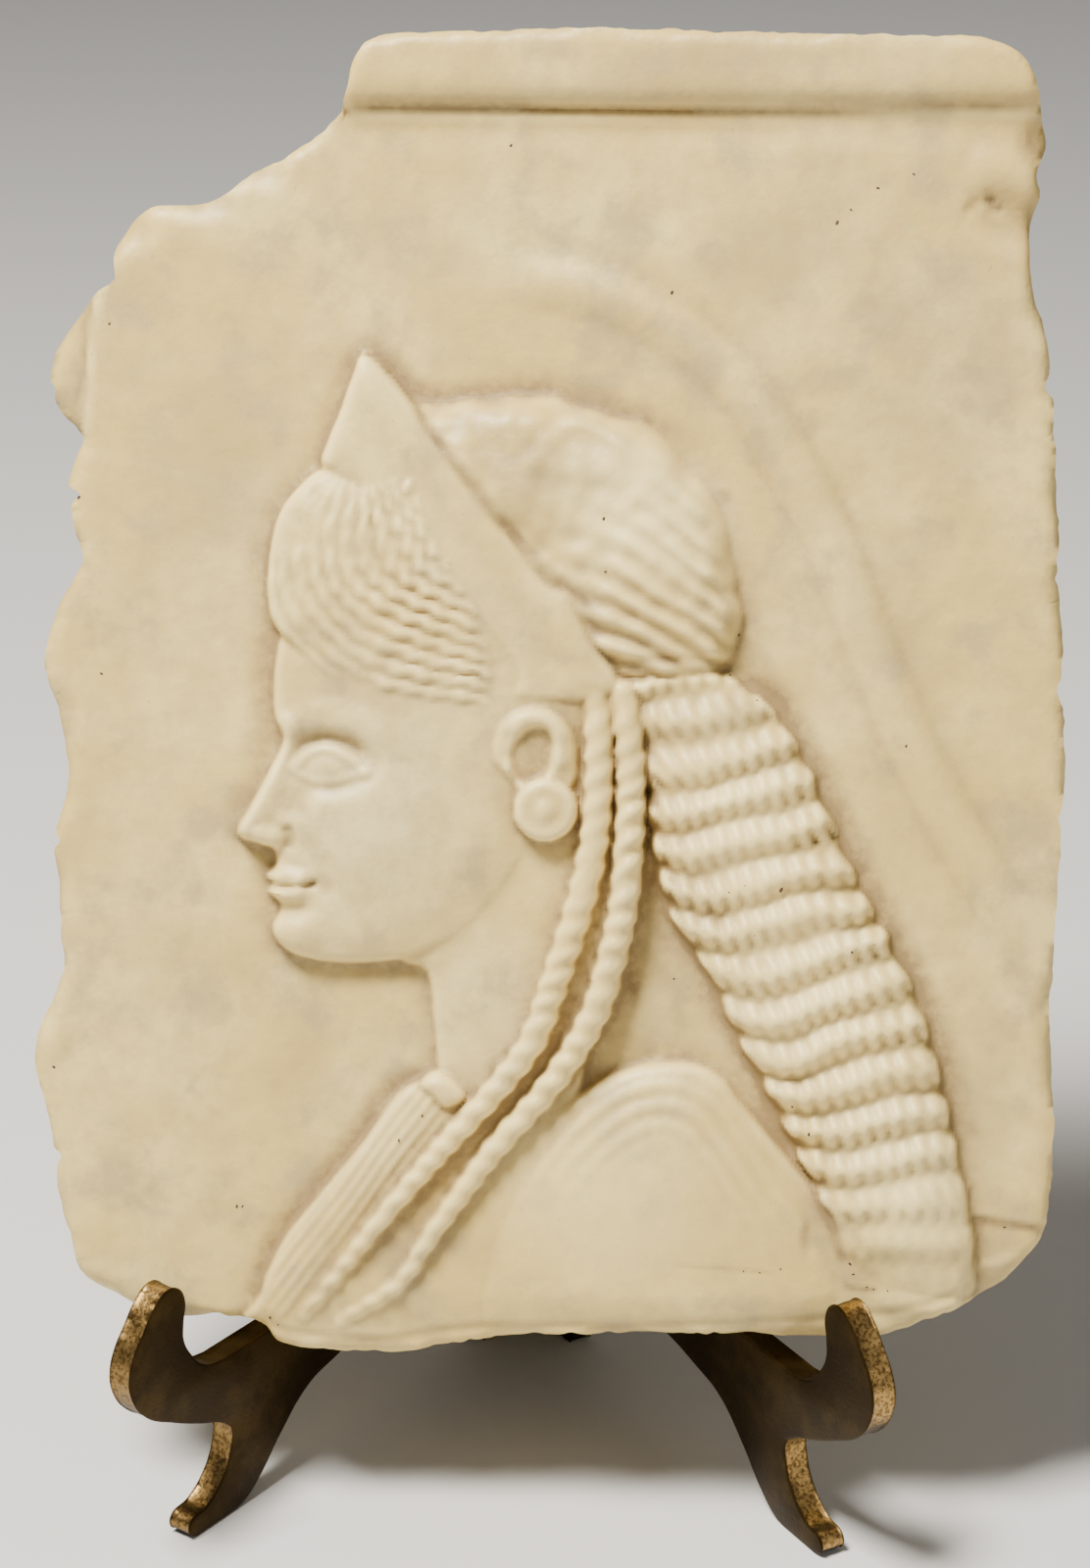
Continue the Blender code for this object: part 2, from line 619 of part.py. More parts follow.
def knuckle(name, low, high, side):
    """One barrel of the hinge with the neck that joins it to the plate."""
    mesh = bmesh.new()
    middle = (low + high) / 2
    height = high - low
    bmesh.ops.create_cone(
        mesh,
        cap_ends=True,
        segments=20,
        radius1=KNUCKLE_RADIUS * MM,
        radius2=KNUCKLE_RADIUS * MM,
        depth=height * MM,
        matrix=Matrix.Translation((0, 0, middle * MM)),
    )
    barrel = bpy.data.meshes.new(name)
    mesh.to_mesh(barrel)
    mesh.free()
    mesh = bmesh.new()
    length = KNUCKLE_RADIUS + 2 * RUNNING_GAP + 2
    wide = 0.9 * KNUCKLE_RADIUS
    place = Matrix.Translation((length / 2 * MM, side * (wide / 2 + 0.15) * MM, middle * MM))
    size = Matrix.Diagonal((length * MM, wide * MM, height * MM, 1))
    bmesh.ops.create_cube(mesh, size=1, matrix=place @ size)
    neck = bpy.data.meshes.new(name + "_neck")
    mesh.to_mesh(neck)
    mesh.free()
    return bpy.data.objects.new(name, barrel), bpy.data.objects.new(name + "_neck", neck)


def apply_boolean(target, tool, operation, cutters):
    cutters.objects.link(tool)
    tool.hide_render = True
    tool.display_type = "WIRE"
    tool.rotation_euler = target.rotation_euler
    change = target.modifiers.new(tool.name, "BOOLEAN")
    change.operation = operation
    change.solver = "EXACT"
    change.object = tool
    return change


def make_leaf(name, side, collection, cutters, material):
    """One cast leaf: plate, hinge knuckles and the bore for the pin. side is 1 right, -1 left."""
    leaf = make_leaf_plate(name, side)
    collection.objects.link(leaf)
    leaf.rotation_euler.z = side * radians(LEAF_OPEN_DEG) - pi / 2
    low = 2 * PIN_HEAD + 2
    pitch = (HINGE_TOP - low) / KNUCKLE_COUNT
    for index in range(KNUCKLE_COUNT):
        if (index % 2 == 0) == (side < 0):
            bottom = low + index * pitch + RUNNING_GAP / 2
            top = low + (index + 1) * pitch - RUNNING_GAP / 2
            for tool in knuckle(f"{name}_knuckle_{index}", bottom, top, side):
                apply_boolean(leaf, tool, "UNION", cutters)
    mesh = bmesh.new()
    bmesh.ops.create_cone(
        mesh,
        cap_ends=True,
        segments=20,
        radius1=(PIN_RADIUS + RUNNING_GAP) * MM,
        radius2=(PIN_RADIUS + RUNNING_GAP) * MM,
        depth=3 * HINGE_TOP * MM,
    )
    data = bpy.data.meshes.new(name + "_bore")
    mesh.to_mesh(data)
    mesh.free()
    apply_boolean(leaf, bpy.data.objects.new(name + "_bore", data), "DIFFERENCE", cutters)
    leaf.data.materials.clear()
    leaf.data.materials.append(material)
    return leaf


def make_pin(collection, material):
    """The hinge pin: a plain rod with a low round head at each end."""
    low = 2 * PIN_HEAD + 2 - RUNNING_GAP
    high = HINGE_TOP + RUNNING_GAP
    profile = [
        (0, high + PIN_HEAD), (PIN_HEAD_RADIUS * 0.6, high + PIN_HEAD * 0.85),
        (PIN_HEAD_RADIUS, high + PIN_HEAD * 0.3), (PIN_HEAD_RADIUS, high), (PIN_RADIUS, high),
        (PIN_RADIUS, low), (PIN_HEAD_RADIUS, low), (PIN_HEAD_RADIUS, low - PIN_HEAD * 0.3),
        (PIN_HEAD_RADIUS * 0.6, low - PIN_HEAD * 0.85), (0, low - PIN_HEAD),
    ]
    data = bpy.data.meshes.new("hinge_pin")
    corners = [(r * MM, 0, z * MM) for r, z in profile]
    data.from_pydata(corners, [(i, i + 1) for i in range(len(corners) - 1)], [])
    pin = bpy.data.objects.new("hinge_pin", data)
    collection.objects.link(pin)
    turned = pin.modifiers.new("turned", "SCREW")
    turned.steps = 16
    turned.render_steps = 16
    turned.use_merge_vertices = True
    turned.merge_threshold = 0.00001
    data.materials.append(material)
    return pin


def place_on_table(objects, stand):
    """Puts the middle of the whole object's footprint over the origin, standing on z = 0."""
    bpy.context.view_layer.update()
    graph = bpy.context.evaluated_depsgraph_get()
    corners = []
    for thing in objects:
        made = thing.evaluated_get(graph)
        data = made.to_mesh()
        flat = np.empty(3 * len(data.vertices), np.float32)
        data.vertices.foreach_get("co", flat)
        place = np.array(thing.matrix_world)
        corners.append(flat.reshape(-1, 3) @ place[:3, :3].T + place[:3, 3])
        made.to_mesh_clear()
    corners = np.vstack(corners)
    low, high = corners.min(0), corners.max(0)
    stand.location = (-(low[0] + high[0]) / 2, -(low[1] + high[1]) / 2, -low[2])


def main():
    collection, cutters = start_scene()
    brass = finish("antique_brass", (0.30, 0.20, 0.085), 0.42, 1.0)
    plaque = make_plaque(collection)
    seat_plaque(plaque)
    plaque.location.x = -STAND_OFFSET * MM
    left = make_leaf("stand_leaf_left", -1, collection, cutters, brass)
    right = make_leaf("stand_leaf_right", 1, collection, cutters, brass)
    pin = make_pin(collection, brass)
    base = bpy.data.objects.new("base", None)
    bpy.context.scene.collection.objects.link(base)
    pieces = (plaque, left, right, pin)
    for piece in (*pieces, *cutters.objects):
        piece.parent = base
    place_on_table(pieces, base)


main()
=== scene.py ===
"""The looks of a cast relief plaque that leans in a small two-leaf brass easel.

Units are metres and +Z is up. Sizes are written in millimetres and turned into metres with MM.
"""

from math import cos, pi, radians, sin, tan

import bmesh
import bpy
import numpy as np
from mathutils import Euler, Matrix, Vector


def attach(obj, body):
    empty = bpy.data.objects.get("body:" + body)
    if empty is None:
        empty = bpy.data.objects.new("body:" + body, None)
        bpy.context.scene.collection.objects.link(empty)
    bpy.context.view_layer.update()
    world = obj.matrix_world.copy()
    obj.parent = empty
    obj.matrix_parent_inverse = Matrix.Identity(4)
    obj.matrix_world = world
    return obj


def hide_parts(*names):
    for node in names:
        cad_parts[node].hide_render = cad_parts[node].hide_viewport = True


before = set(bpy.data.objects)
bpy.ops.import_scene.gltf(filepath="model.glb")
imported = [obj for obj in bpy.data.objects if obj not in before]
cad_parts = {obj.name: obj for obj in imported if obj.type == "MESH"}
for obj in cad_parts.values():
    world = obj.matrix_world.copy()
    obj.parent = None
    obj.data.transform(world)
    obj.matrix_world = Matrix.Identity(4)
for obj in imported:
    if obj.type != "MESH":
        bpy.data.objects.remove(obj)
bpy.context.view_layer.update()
MM = 0.001

# The camera stands where the photograph was taken: a little to the right of the plaque and well
# above the table, so that it looks nearly square at the leaning face. Its place is measured from
# the middle of the lower back edge of the slab.
SLAB_CORNER = Vector((0.0, -13.197, 26.388)) * MM
LEAN = radians(17.0)
camera_data = bpy.data.cameras.new("photo_camera")
camera_data.lens = 86.0
camera_data.sensor_width = 36.0
camera_data.clip_end = 20.0
camera = bpy.data.objects.new("photo_camera", camera_data)
camera.location = SLAB_CORNER + Vector((30.1, -587.6, 344.8)) * MM
camera.rotation_euler = Euler((radians(90 - 22), 0, radians(2.9)))
bpy.context.scene.collection.objects.link(camera)
bpy.context.scene.camera = camera

# The studio: a pale floor without edges, one broad soft light high on the left, a weaker one on
# the right, and an even pale surrounding.
bpy.ops.mesh.primitive_plane_add(size=12.0)
floor = bpy.context.object
floor.name = "studio_floor"
paper = bpy.data.materials.new("pale_paper")
paper.use_nodes = True
paper_shader = paper.node_tree.nodes["Principled BSDF"]
paper_shader.inputs["Base Color"].default_value = (0.66, 0.655, 0.64, 1)
paper_shader.inputs["Roughness"].default_value = 0.9
floor.data.materials.append(paper)

for name, place, size, power in (
    ("window_light", (-0.38, -0.32, 1.2), 0.36, 42.0),
    ("right_fill", (0.9, -0.9, 0.6), 0.9, 2.5),
):
    lamp_data = bpy.data.lights.new(name, "AREA")
    lamp_data.size = size
    lamp_data.energy = power
    lamp_data.color = (1.0, 0.95, 0.88)
    lamp = bpy.data.objects.new(name, lamp_data)
    lamp.location = place
    lamp.rotation_euler = (Vector((0, 0, 0.13)) - Vector(place)).to_track_quat("-Z", "Y").to_euler()
    bpy.context.scene.collection.objects.link(lamp)

surrounding = bpy.data.worlds.new("pale_room")
surrounding.use_nodes = True
surrounding.node_tree.nodes["Background"].inputs["Color"].default_value = (0.98, 0.97, 0.96, 1)
surrounding.node_tree.nodes["Background"].inputs["Strength"].default_value = 0.19
bpy.context.scene.world = surrounding

# The easel's two leaves are flat brass castings with a brown antique finish. Their narrow edges
# are rough from the mould and rubbed bright; the pale gold on them is partly painted highlight,
# brighter where they face forward and up, darker where they face down, and brighter on the right
# leaf. Each has hinge barrels at the back, a foot, an arm under the slab, a hook in front of it
# and an upright behind it.
LEAF_THICKNESS = 5.0
LEAF_OPEN = radians(33.5)
LEAF_EDGE_ROUND = 0.55
ARM_TOP = 32.0
UPRIGHT_FOOT = 62.5
UPRIGHT_TOP = 124.0
UPRIGHT_WIDTH = 9.0
HOOK = 99.94
HOOK_TIP = 51.6
HINGE_TOP = 56.0
HINGE_LOW = 4.8
HINGE_AXIS = Vector((-5.302, 41.160, 0.0)) * MM
BARREL_RADIUS = 4.0
BARREL_COUNT = 5
PIN_RADIUS = 1.5
RUNNING_GAP = 0.3


def leaf_outline():
    """The leaf's outline as (u forward from the hinge, v up, whether the next run is straight)."""
    slope = tan(LEAN) / cos(LEAF_OPEN)
    edge = BARREL_RADIUS + 2 * RUNNING_GAP
    top_u = UPRIGHT_FOOT - slope * (UPRIGHT_TOP - ARM_TOP)
    back_u = top_u - UPRIGHT_WIDTH
    rear_foot = [(edge, HINGE_TOP + 4, True), (edge, 0, True), (edge + 10, 0, False)]
    arch = [
        (0.125, 0.13), (0.18, 0.353), (0.265, 0.524), (0.36, 0.612), (0.464, 0.612),
        (0.574, 0.556), (0.657, 0.488), (0.741, 0.294), (0.798, 0.124), (0.845, 0.026),
    ]
    sole = [(HOOK - 11.3, 0, True), (HOOK - 1.8, 0, False)]
    front = [
        (0.5, 0.047), (0.1, 0.115), (-4.5, 0.156), (-8.7, 0.259), (-11.1, 0.4), (-11.5, 0.535),
        (-9.1, 0.606), (-4.3, 0.676), (3.1, 0.794), (10.3, 0.941), (13.5, 1.1), (13.9, 1.224),
        (12.6, 1.34), (9.9, 1.45),
    ]
    lip = [
        (HOOK + 6.9, HOOK_TIP - 1.7), (HOOK + 3.6, HOOK_TIP + 0.3), (HOOK + 0.7, HOOK_TIP - 0.5),
        (HOOK - 1.0, HOOK_TIP - 3.4), (HOOK - 0.4, HOOK_TIP - 8), (HOOK - 0.3, HOOK_TIP - 11),
        (HOOK - 1.9, HOOK_TIP - 14.6), (HOOK - 5.1, ARM_TOP + 1.4),
    ]
    arm = [(HOOK - 10, ARM_TOP, True), (UPRIGHT_FOOT + 2, ARM_TOP, False)]
    upright = [(UPRIGHT_FOOT - slope * 2, ARM_TOP + 2, True), (top_u, UPRIGHT_TOP, False)]
    back = [
        (top_u - 0.25 * UPRIGHT_WIDTH, UPRIGHT_TOP + 4.6),
        (top_u - 0.8 * UPRIGHT_WIDTH, UPRIGHT_TOP + 4.2),
        (back_u, UPRIGHT_TOP - 1), (back_u + 4.5, UPRIGHT_TOP - 16),
        (back_u + 7.5, UPRIGHT_TOP - 36), (back_u + 3.5, HINGE_TOP + 15),
        (edge + 12, HINGE_TOP + 6.5),
    ]
    under = [(edge + share * (HOOK - edge), ARM_TOP * rise, False) for share, rise in arch]
    outer = [(HOOK + ahead, ARM_TOP * rise, False) for ahead, rise in front]
    inner, behind = ([(*place, False) for place in run] for run in (lip, back))
    return rear_foot + under + sole + outer + inner + arm + upright + behind


def leaf_plate(name, side):
    """The plate with rounded edges, standing beside the hinge's axis, as a bmesh."""
    curve = bpy.data.curves.new(name, "CURVE")
    curve.dimensions = "2D"
    curve.fill_mode = "BOTH"
    curve.resolution_u = 9
    curve.extrude = (LEAF_THICKNESS / 2 - LEAF_EDGE_ROUND) * MM
    curve.bevel_depth = LEAF_EDGE_ROUND * MM
    curve.bevel_resolution = 2
    curve.offset = -LEAF_EDGE_ROUND * MM
    points = leaf_outline()
    spline = curve.splines.new("BEZIER")
    spline.bezier_points.add(len(points) - 1)
    spline.use_cyclic_u = True
    for index, (point, (u, v, straight)) in enumerate(zip(spline.bezier_points, points)):
        point.co = (u * MM, v * MM, 0)
        point.handle_left_type = "VECTOR" if points[index - 1][2] else "AUTO"
        point.handle_right_type = "VECTOR" if straight else "AUTO"
    drawn = bpy.data.objects.new(name + "_outline", curve)
    bpy.context.scene.collection.objects.link(drawn)
    bpy.context.view_layer.update()
    data = bpy.data.meshes.new_from_object(drawn.evaluated_get(bpy.context.evaluated_depsgraph_get()))
    bpy.data.objects.remove(drawn)
    mesh = bmesh.new()
    mesh.from_mesh(data)
    bmesh.ops.remove_doubles(mesh, verts=mesh.verts, dist=0.00001)
    across = [e for e in mesh.edges if abs(e.verts[0].co.z - e.verts[1].co.z) > LEAF_THICKNESS / 2 * MM]
    bmesh.ops.subdivide_edges(mesh, edges=across, cuts=3, use_grid_fill=True)
    offset = side * LEAF_THICKNESS / 2 * MM
    stand_up = Matrix.Translation((0, offset, 0)) @ Matrix.Rotation(pi / 2, 4, "X")
    bmesh.ops.transform(mesh, matrix=stand_up, verts=mesh.verts)
    bmesh.ops.recalc_face_normals(mesh, faces=mesh.faces)
    mesh.to_mesh(data)
    mesh.free()
    plate = bpy.data.objects.new(name, data)
    bpy.context.scene.collection.objects.link(plate)
    return plate


def turned_part(name, radius, low, high, segments=40):
    """A round barrel or rod with softened ends, standing on the hinge's axis."""
    soft = min(0.35, radius / 4)
    mesh = bmesh.new()
    rings = [(radius - soft, low), (radius, low + soft), (radius, high - soft), (radius - soft, high)]
    loops = []
    for ring_radius, height in rings:
        ring = bmesh.ops.create_circle(
            mesh, segments=segments, radius=ring_radius * MM, matrix=Matrix.Translation((0, 0, height * MM))
        )
        loops.append(ring["verts"])
    for lower, upper in zip(loops, loops[1:]):
        for a in range(segments):
            b = (a + 1) % segments
            mesh.faces.new((lower[a], lower[b], upper[b], upper[a]))
    mesh.faces.new(list(reversed(loops[0])))
    mesh.faces.new(loops[-1])
    bmesh.ops.recalc_face_normals(mesh, faces=mesh.faces)
    data = bpy.data.meshes.new(name)
    mesh.to_mesh(data)
    mesh.free()
    return bpy.data.objects.new(name, data)


def join_or_cut(target, tool, operation):
    """Joins a tool to the target or cuts it away, and drops the tool."""
    bpy.context.scene.collection.objects.link(tool)
    change = target.modifiers.new(tool.name, "BOOLEAN")
    change.operation = operation
    change.solver = "EXACT"
    change.object = tool
    bpy.context.view_layer.update()
    made = bpy.data.meshes.new_from_object(target.evaluated_get(bpy.context.evaluated_depsgraph_get()))
    target.modifiers.clear()
    target.data = made
    bpy.data.objects.remove(tool)


def mottling():
    """A shader group of soft cloudy blotches, shared by the brass and the cast stone."""
    group = bpy.data.node_groups.new("soft_mottling", "ShaderNodeTree")
    group.interface.new_socket("Vector", in_out="INPUT", socket_type="NodeSocketVector")
    for socket, value in (("Scale", 40.0), ("Low", 0.4), ("High", 0.6)):
        group.interface.new_socket(socket, in_out="INPUT", socket_type="NodeSocketFloat").default_value = value
    group.interface.new_socket("Mask", in_out="OUTPUT", socket_type="NodeSocketFloat")
    inputs = group.nodes.new("NodeGroupInput")
    cloud = group.nodes.new("ShaderNodeTexNoise")
    cloud.inputs["Detail"].default_value = 5.0
    cloud.inputs["Roughness"].default_value = 0.6
    spread = group.nodes.new("ShaderNodeMapRange")
    spread.interpolation_type = "SMOOTHSTEP"
    output = group.nodes.new("NodeGroupOutput")
    group.links.new(inputs.outputs["Vector"], cloud.inputs["Vector"])
    group.links.new(inputs.outputs["Scale"], cloud.inputs["Scale"])
    group.links.new(cloud.outputs["Fac"], spread.inputs["Value"])
    group.links.new(inputs.outputs["Low"], spread.inputs["From Min"])
    group.links.new(inputs.outputs["High"], spread.inputs["From Max"])
    group.links.new(spread.outputs["Result"], output.inputs["Mask"])
    return group


soft_mottling = mottling()


def material_kit(name):
    """A new material with its shader, and short ways to add nodes, links and mottling."""
    material = bpy.data.materials.new(name)
    material.use_nodes = True
    tree = material.node_tree
    shader = tree.nodes["Principled BSDF"]
    place = tree.nodes.new("ShaderNodeTexCoord").outputs["Object"]

    def node(kind, **settings):
        made = tree.nodes.new(kind)
        for key, value in settings.items():
            setattr(made, key, value)
        return made

    def blotches(scale, low, high):
        made = tree.nodes.new("ShaderNodeGroup")
        made.node_tree = soft_mottling
        made.inputs["Scale"].default_value = scale
        made.inputs["Low"].default_value = low
        made.inputs["High"].default_value = high
        tree.links.new(place, made.inputs["Vector"])
        return made.outputs["Mask"]

    def math(operation, first, second):
        made = node("ShaderNodeMath", operation=operation)
        for socket, value in zip(made.inputs, (first, second)):
            if isinstance(value, float):
                socket.default_value = value
            else:
                tree.links.new(value, socket)
        return made.outputs["Value"]

    def blend_colours(factor, first, second):
        made = node("ShaderNodeMix", data_type="RGBA")
        tree.links.new(factor, made.inputs["Factor"])
        for socket, value in ((made.inputs["A"], first), (made.inputs["B"], second)):
            if isinstance(value, tuple):
                socket.default_value = (*value, 1)
            else:
                tree.links.new(value, socket)
        return made.outputs["Result"]

    return material, tree, shader, place, node, blotches, math, blend_colours


def antique_brass():
    """Brown-gold cast brass: dark flat faces, rough pale gold on the rubbed edges, partly painted highlight."""
    material, tree, shader, place, node, blotches, math, blend_colours = material_kit("antique_brass")
    rubbed_and_highlit = node("ShaderNodeAttribute", attribute_name="rubbed_and_highlit").outputs["Fac"]
    dark = blend_colours(blotches(90.0, 0.42, 0.62), (0.026, 0.0155, 0.0045), (0.046, 0.0285, 0.0085))
    spots = math("MULTIPLY", blotches(420.0, 0.6, 0.68), 0.75)
    dark = blend_colours(spots, dark, (0.024, 0.016, 0.008))
    # The pale gold on the edges is partly rubbed metal and partly painted highlight.
    gold = blend_colours(blotches(1500.0, 0.40, 0.56), (0.16, 0.094, 0.030), (0.43, 0.275, 0.096))
    tree.links.new(blend_colours(rubbed_and_highlit, dark, gold), shader.inputs["Base Color"])
    shader.inputs["Metallic"].default_value = 1.0
    rough = node("ShaderNodeMapRange")
    tree.links.new(rubbed_and_highlit, rough.inputs["Value"])
    rough.inputs["To Min"].default_value = 0.5
    rough.inputs["To Max"].default_value = 0.36
    tree.links.new(rough.outputs["Result"], shader.inputs["Roughness"])
    grain = node("ShaderNodeTexNoise")
    grain.inputs["Scale"].default_value = 1500.0
    grain.inputs["Detail"].default_value = 3.0
    tree.links.new(place, grain.inputs["Vector"])
    bump = node("ShaderNodeBump")
    bump.inputs["Strength"].default_value = 0.35
    bump.inputs["Distance"].default_value = 0.0002
    tree.links.new(grain.outputs["Fac"], bump.inputs["Height"])
    tree.links.new(bump.outputs["Normal"], shader.inputs["Normal"])
    return material


brass = antique_brass()


def rough_cast_edges():
    """A geometry tree that dents a surface where its named attribute is high."""
    tree = bpy.data.node_groups.new("rough_cast_edges", "GeometryNodeTree")
    tree.is_modifier = True
    tree.interface.new_socket("Geometry", in_out="INPUT", socket_type="NodeSocketGeometry")
    tree.interface.new_socket("Dent Depth", in_out="INPUT", socket_type="NodeSocketFloat")
    tree.interface.new_socket("Dents per Metre", in_out="INPUT", socket_type="NodeSocketFloat")
    tree.interface.new_socket("Metal", in_out="INPUT", socket_type="NodeSocketMaterial")
    tree.interface.new_socket("Geometry", in_out="OUTPUT", socket_type="NodeSocketGeometry")
    inputs = tree.nodes.new("NodeGroupInput")
    output = tree.nodes.new("NodeGroupOutput")
    where = tree.nodes.new("GeometryNodeInputNamedAttribute")
    where.data_type = "FLOAT"
    where.inputs["Name"].default_value = "rim"
    dents = tree.nodes.new("ShaderNodeTexNoise")
    dents.inputs["Detail"].default_value = 2.0
    tree.links.new(inputs.outputs["Dents per Metre"], dents.inputs["Scale"])
    inward = tree.nodes.new("ShaderNodeMath")
    inward.operation = "MULTIPLY"
    tree.links.new(dents.outputs["Fac"], inward.inputs[0])
    tree.links.new(where.outputs["Attribute"], inward.inputs[1])
    depth = tree.nodes.new("ShaderNodeMath")
    depth.operation = "MULTIPLY"
    tree.links.new(inward.outputs["Value"], depth.inputs[0])
    tree.links.new(inputs.outputs["Dent Depth"], depth.inputs[1])
    normal = tree.nodes.new("GeometryNodeInputNormal")
    shift = tree.nodes.new("ShaderNodeVectorMath")
    shift.operation = "SCALE"
    tree.links.new(normal.outputs["Normal"], shift.inputs["Vector"])
    tree.links.new(depth.outputs["Value"], shift.inputs["Scale"])
    move = tree.nodes.new("GeometryNodeSetPosition")
    tree.links.new(inputs.outputs["Geometry"], move.inputs["Geometry"])
    tree.links.new(shift.outputs["Vector"], move.inputs["Offset"])
    realize = tree.nodes.new("GeometryNodeRealizeInstances")
    tree.links.new(move.outputs["Geometry"], realize.inputs["Geometry"])
    coat = tree.nodes.new("GeometryNodeSetMaterial")
    tree.links.new(realize.outputs["Geometry"], coat.inputs["Geometry"])
    tree.links.new(inputs.outputs["Metal"], coat.inputs["Material"])
    tree.links.new(coat.outputs["Geometry"], output.inputs["Geometry"])
    return tree


def run_tree(thing, tree, values):
    """Gives a thing a geometry tree, sets its named inputs and makes the result a plain mesh."""
    change = thing.modifiers.new(tree.name, "NODES")
    change.node_group = tree
    sockets = {item.name: item.identifier for item in tree.interface.items_tree if item.in_out == "INPUT"}
    for socket, value in values.items():
        change[sockets[socket]] = value
    bpy.context.view_layer.update()
    made = bpy.data.meshes.new_from_object(thing.evaluated_get(bpy.context.evaluated_depsgraph_get()))
    thing.modifiers.clear()
    thing.data = made


def mark_edges(thing, side):
    """Stores how far each point belongs to the plate's narrow edge, and how rubbed and painted-highlit it is."""
    data = thing.data
    rim = data.attributes.new("rim", "FLOAT", "POINT")
    rubbed_and_highlit = data.attributes.new("rubbed_and_highlit", "FLOAT", "POINT")
    middle = side * LEAF_THICKNESS / 2 * MM
    flat = (LEAF_THICKNESS / 2 - LEAF_EDGE_ROUND) * MM
    for vertex in data.vertices:
        on_edge = 1.0 if abs(vertex.co.y - middle) < flat * 1.01 and vertex.co.x > 12 * MM else 0.0
        # The rubbed gold is partly painted highlight: it grows on edges that face forward and up, fades where they
        # face down, and is weaker on the left leaf.
        on_tip = 0.45 if vertex.co.z > 42 * MM else 0.12
        ahead = vertex.normal.x * 0.9 + vertex.normal.z * on_tip + 0.9 * min(vertex.normal.z + 0.1, 0.0)
        faces_front = min(max((ahead - 0.1) / 0.45, 0.0), 1.0)
        near_front = min(max((vertex.co.x / MM - 70) / 16, 0.0), 1.0)
        rim.data[vertex.index].value = on_edge
        rubbed_and_highlit.data[vertex.index].value = on_edge * faces_front * near_front * (0.8 + 0.2 * side)


cast_edges = rough_cast_edges()
barrel_pitch = (HINGE_TOP - HINGE_LOW) / BARREL_COUNT
for name, side in (("stand_leaf_left", -1), ("stand_leaf_right", 1)):
    leaf = leaf_plate("brass_" + name, side)
    mark_edges(leaf, side)
    for index in range(BARREL_COUNT):
        if (index % 2 == 0) == (side < 0):
            low = HINGE_LOW + index * barrel_pitch + RUNNING_GAP / 2
            high = HINGE_LOW + (index + 1) * barrel_pitch - RUNNING_GAP / 2
            mesh = bmesh.new()
            length = BARREL_RADIUS + 2 * RUNNING_GAP + 2
            wide = 0.9 * BARREL_RADIUS
            middle = Matrix.Translation(
                (length / 2 * MM, side * (wide / 2 + 0.15) * MM, (low + high) / 2 * MM)
            )
            size = Matrix.Diagonal((length * MM, wide * MM, (high - low) * MM, 1))
            bmesh.ops.create_cube(mesh, size=1, matrix=middle @ size)
            neck_data = bpy.data.meshes.new("barrel_neck")
            mesh.to_mesh(neck_data)
            mesh.free()
            join_or_cut(leaf, bpy.data.objects.new("barrel_neck", neck_data), "UNION")
            join_or_cut(leaf, turned_part("barrel", BARREL_RADIUS, low, high), "UNION")
    join_or_cut(leaf, turned_part("bore", PIN_RADIUS + RUNNING_GAP, -20, 3 * HINGE_TOP), "DIFFERENCE")
    run_tree(leaf, cast_edges, {"Dent Depth": -0.55 * MM, "Dents per Metre": 560.0, "Metal": brass})
    turn = Matrix.Rotation(side * LEAF_OPEN - pi / 2, 4, "Z")
    leaf.data.transform(Matrix.Translation(HINGE_AXIS) @ turn)
    leaf.data.shade_smooth()
    leaf.data.set_sharp_from_angle(angle=radians(35))
    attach(leaf, "root")
    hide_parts(name)

# The hinge pin is a plain brass rod with a low round head at each end, riveted through the
# barrels of both leaves.
PIN_HEAD_RADIUS = 2.9
PIN_HEAD = 1.4
pin_low = HINGE_LOW - RUNNING_GAP
pin_high = HINGE_TOP + RUNNING_GAP
dome = [(PIN_HEAD_RADIUS * sin(a), PIN_HEAD * cos(a)) for a in np.linspace(0, pi / 2, 7)]
profile = [(r, pin_high + rise) for r, rise in dome] + [(PIN_RADIUS, pin_high), (PIN_RADIUS, pin_low)]
profile += [(r, pin_low - rise) for r, rise in reversed(dome)]
pin_data = bpy.data.meshes.new("brass_hinge_pin")
corners = [(r * MM, 0, z * MM) for r, z in profile]
pin_data.from_pydata(corners, [(i, i + 1) for i in range(len(corners) - 1)], [])
pin = bpy.data.objects.new("brass_hinge_pin", pin_data)
bpy.context.scene.collection.objects.link(pin)
turned = pin.modifiers.new("turned", "SCREW")
turned.steps = 40
turned.render_steps = 40
turned.use_merge_vertices = True
turned.merge_threshold = 0.00001
bpy.context.view_layer.update()
pin_data = bpy.data.meshes.new_from_object(pin.evaluated_get(bpy.context.evaluated_depsgraph_get()))
pin.modifiers.clear()
pin.data = pin_data
mesh = bmesh.new()
mesh.from_mesh(pin_data)
bmesh.ops.remove_doubles(mesh, verts=mesh.verts, dist=0.00001)
bmesh.ops.recalc_face_normals(mesh, faces=mesh.faces)
mesh.to_mesh(pin_data)
mesh.free()
pin_data.transform(Matrix.Translation(HINGE_AXIS))
pin_data.shade_smooth()
pin_data.set_sharp_from_angle(angle=radians(40))
pin_data.materials.append(brass)
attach(pin, "root")
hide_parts("hinge_pin")

# The plaque is one solid casting of marble-like resin with a satin surface. Its carving is worked
# out as a height above the panel on a fine net of places: s to the right of the slab's middle and
# t up from its lowest point, both in millimetres along the slab.
SLAB_THICKNESS = 18.0
RIM_ROUND = 4.0
BACK_ROUND = 1.6
REST_T = 5.4
NET = 0.3
S, T = np.meshgrid(np.arange(-93, 93.01, NET), np.arange(-4, 236.01, NET))


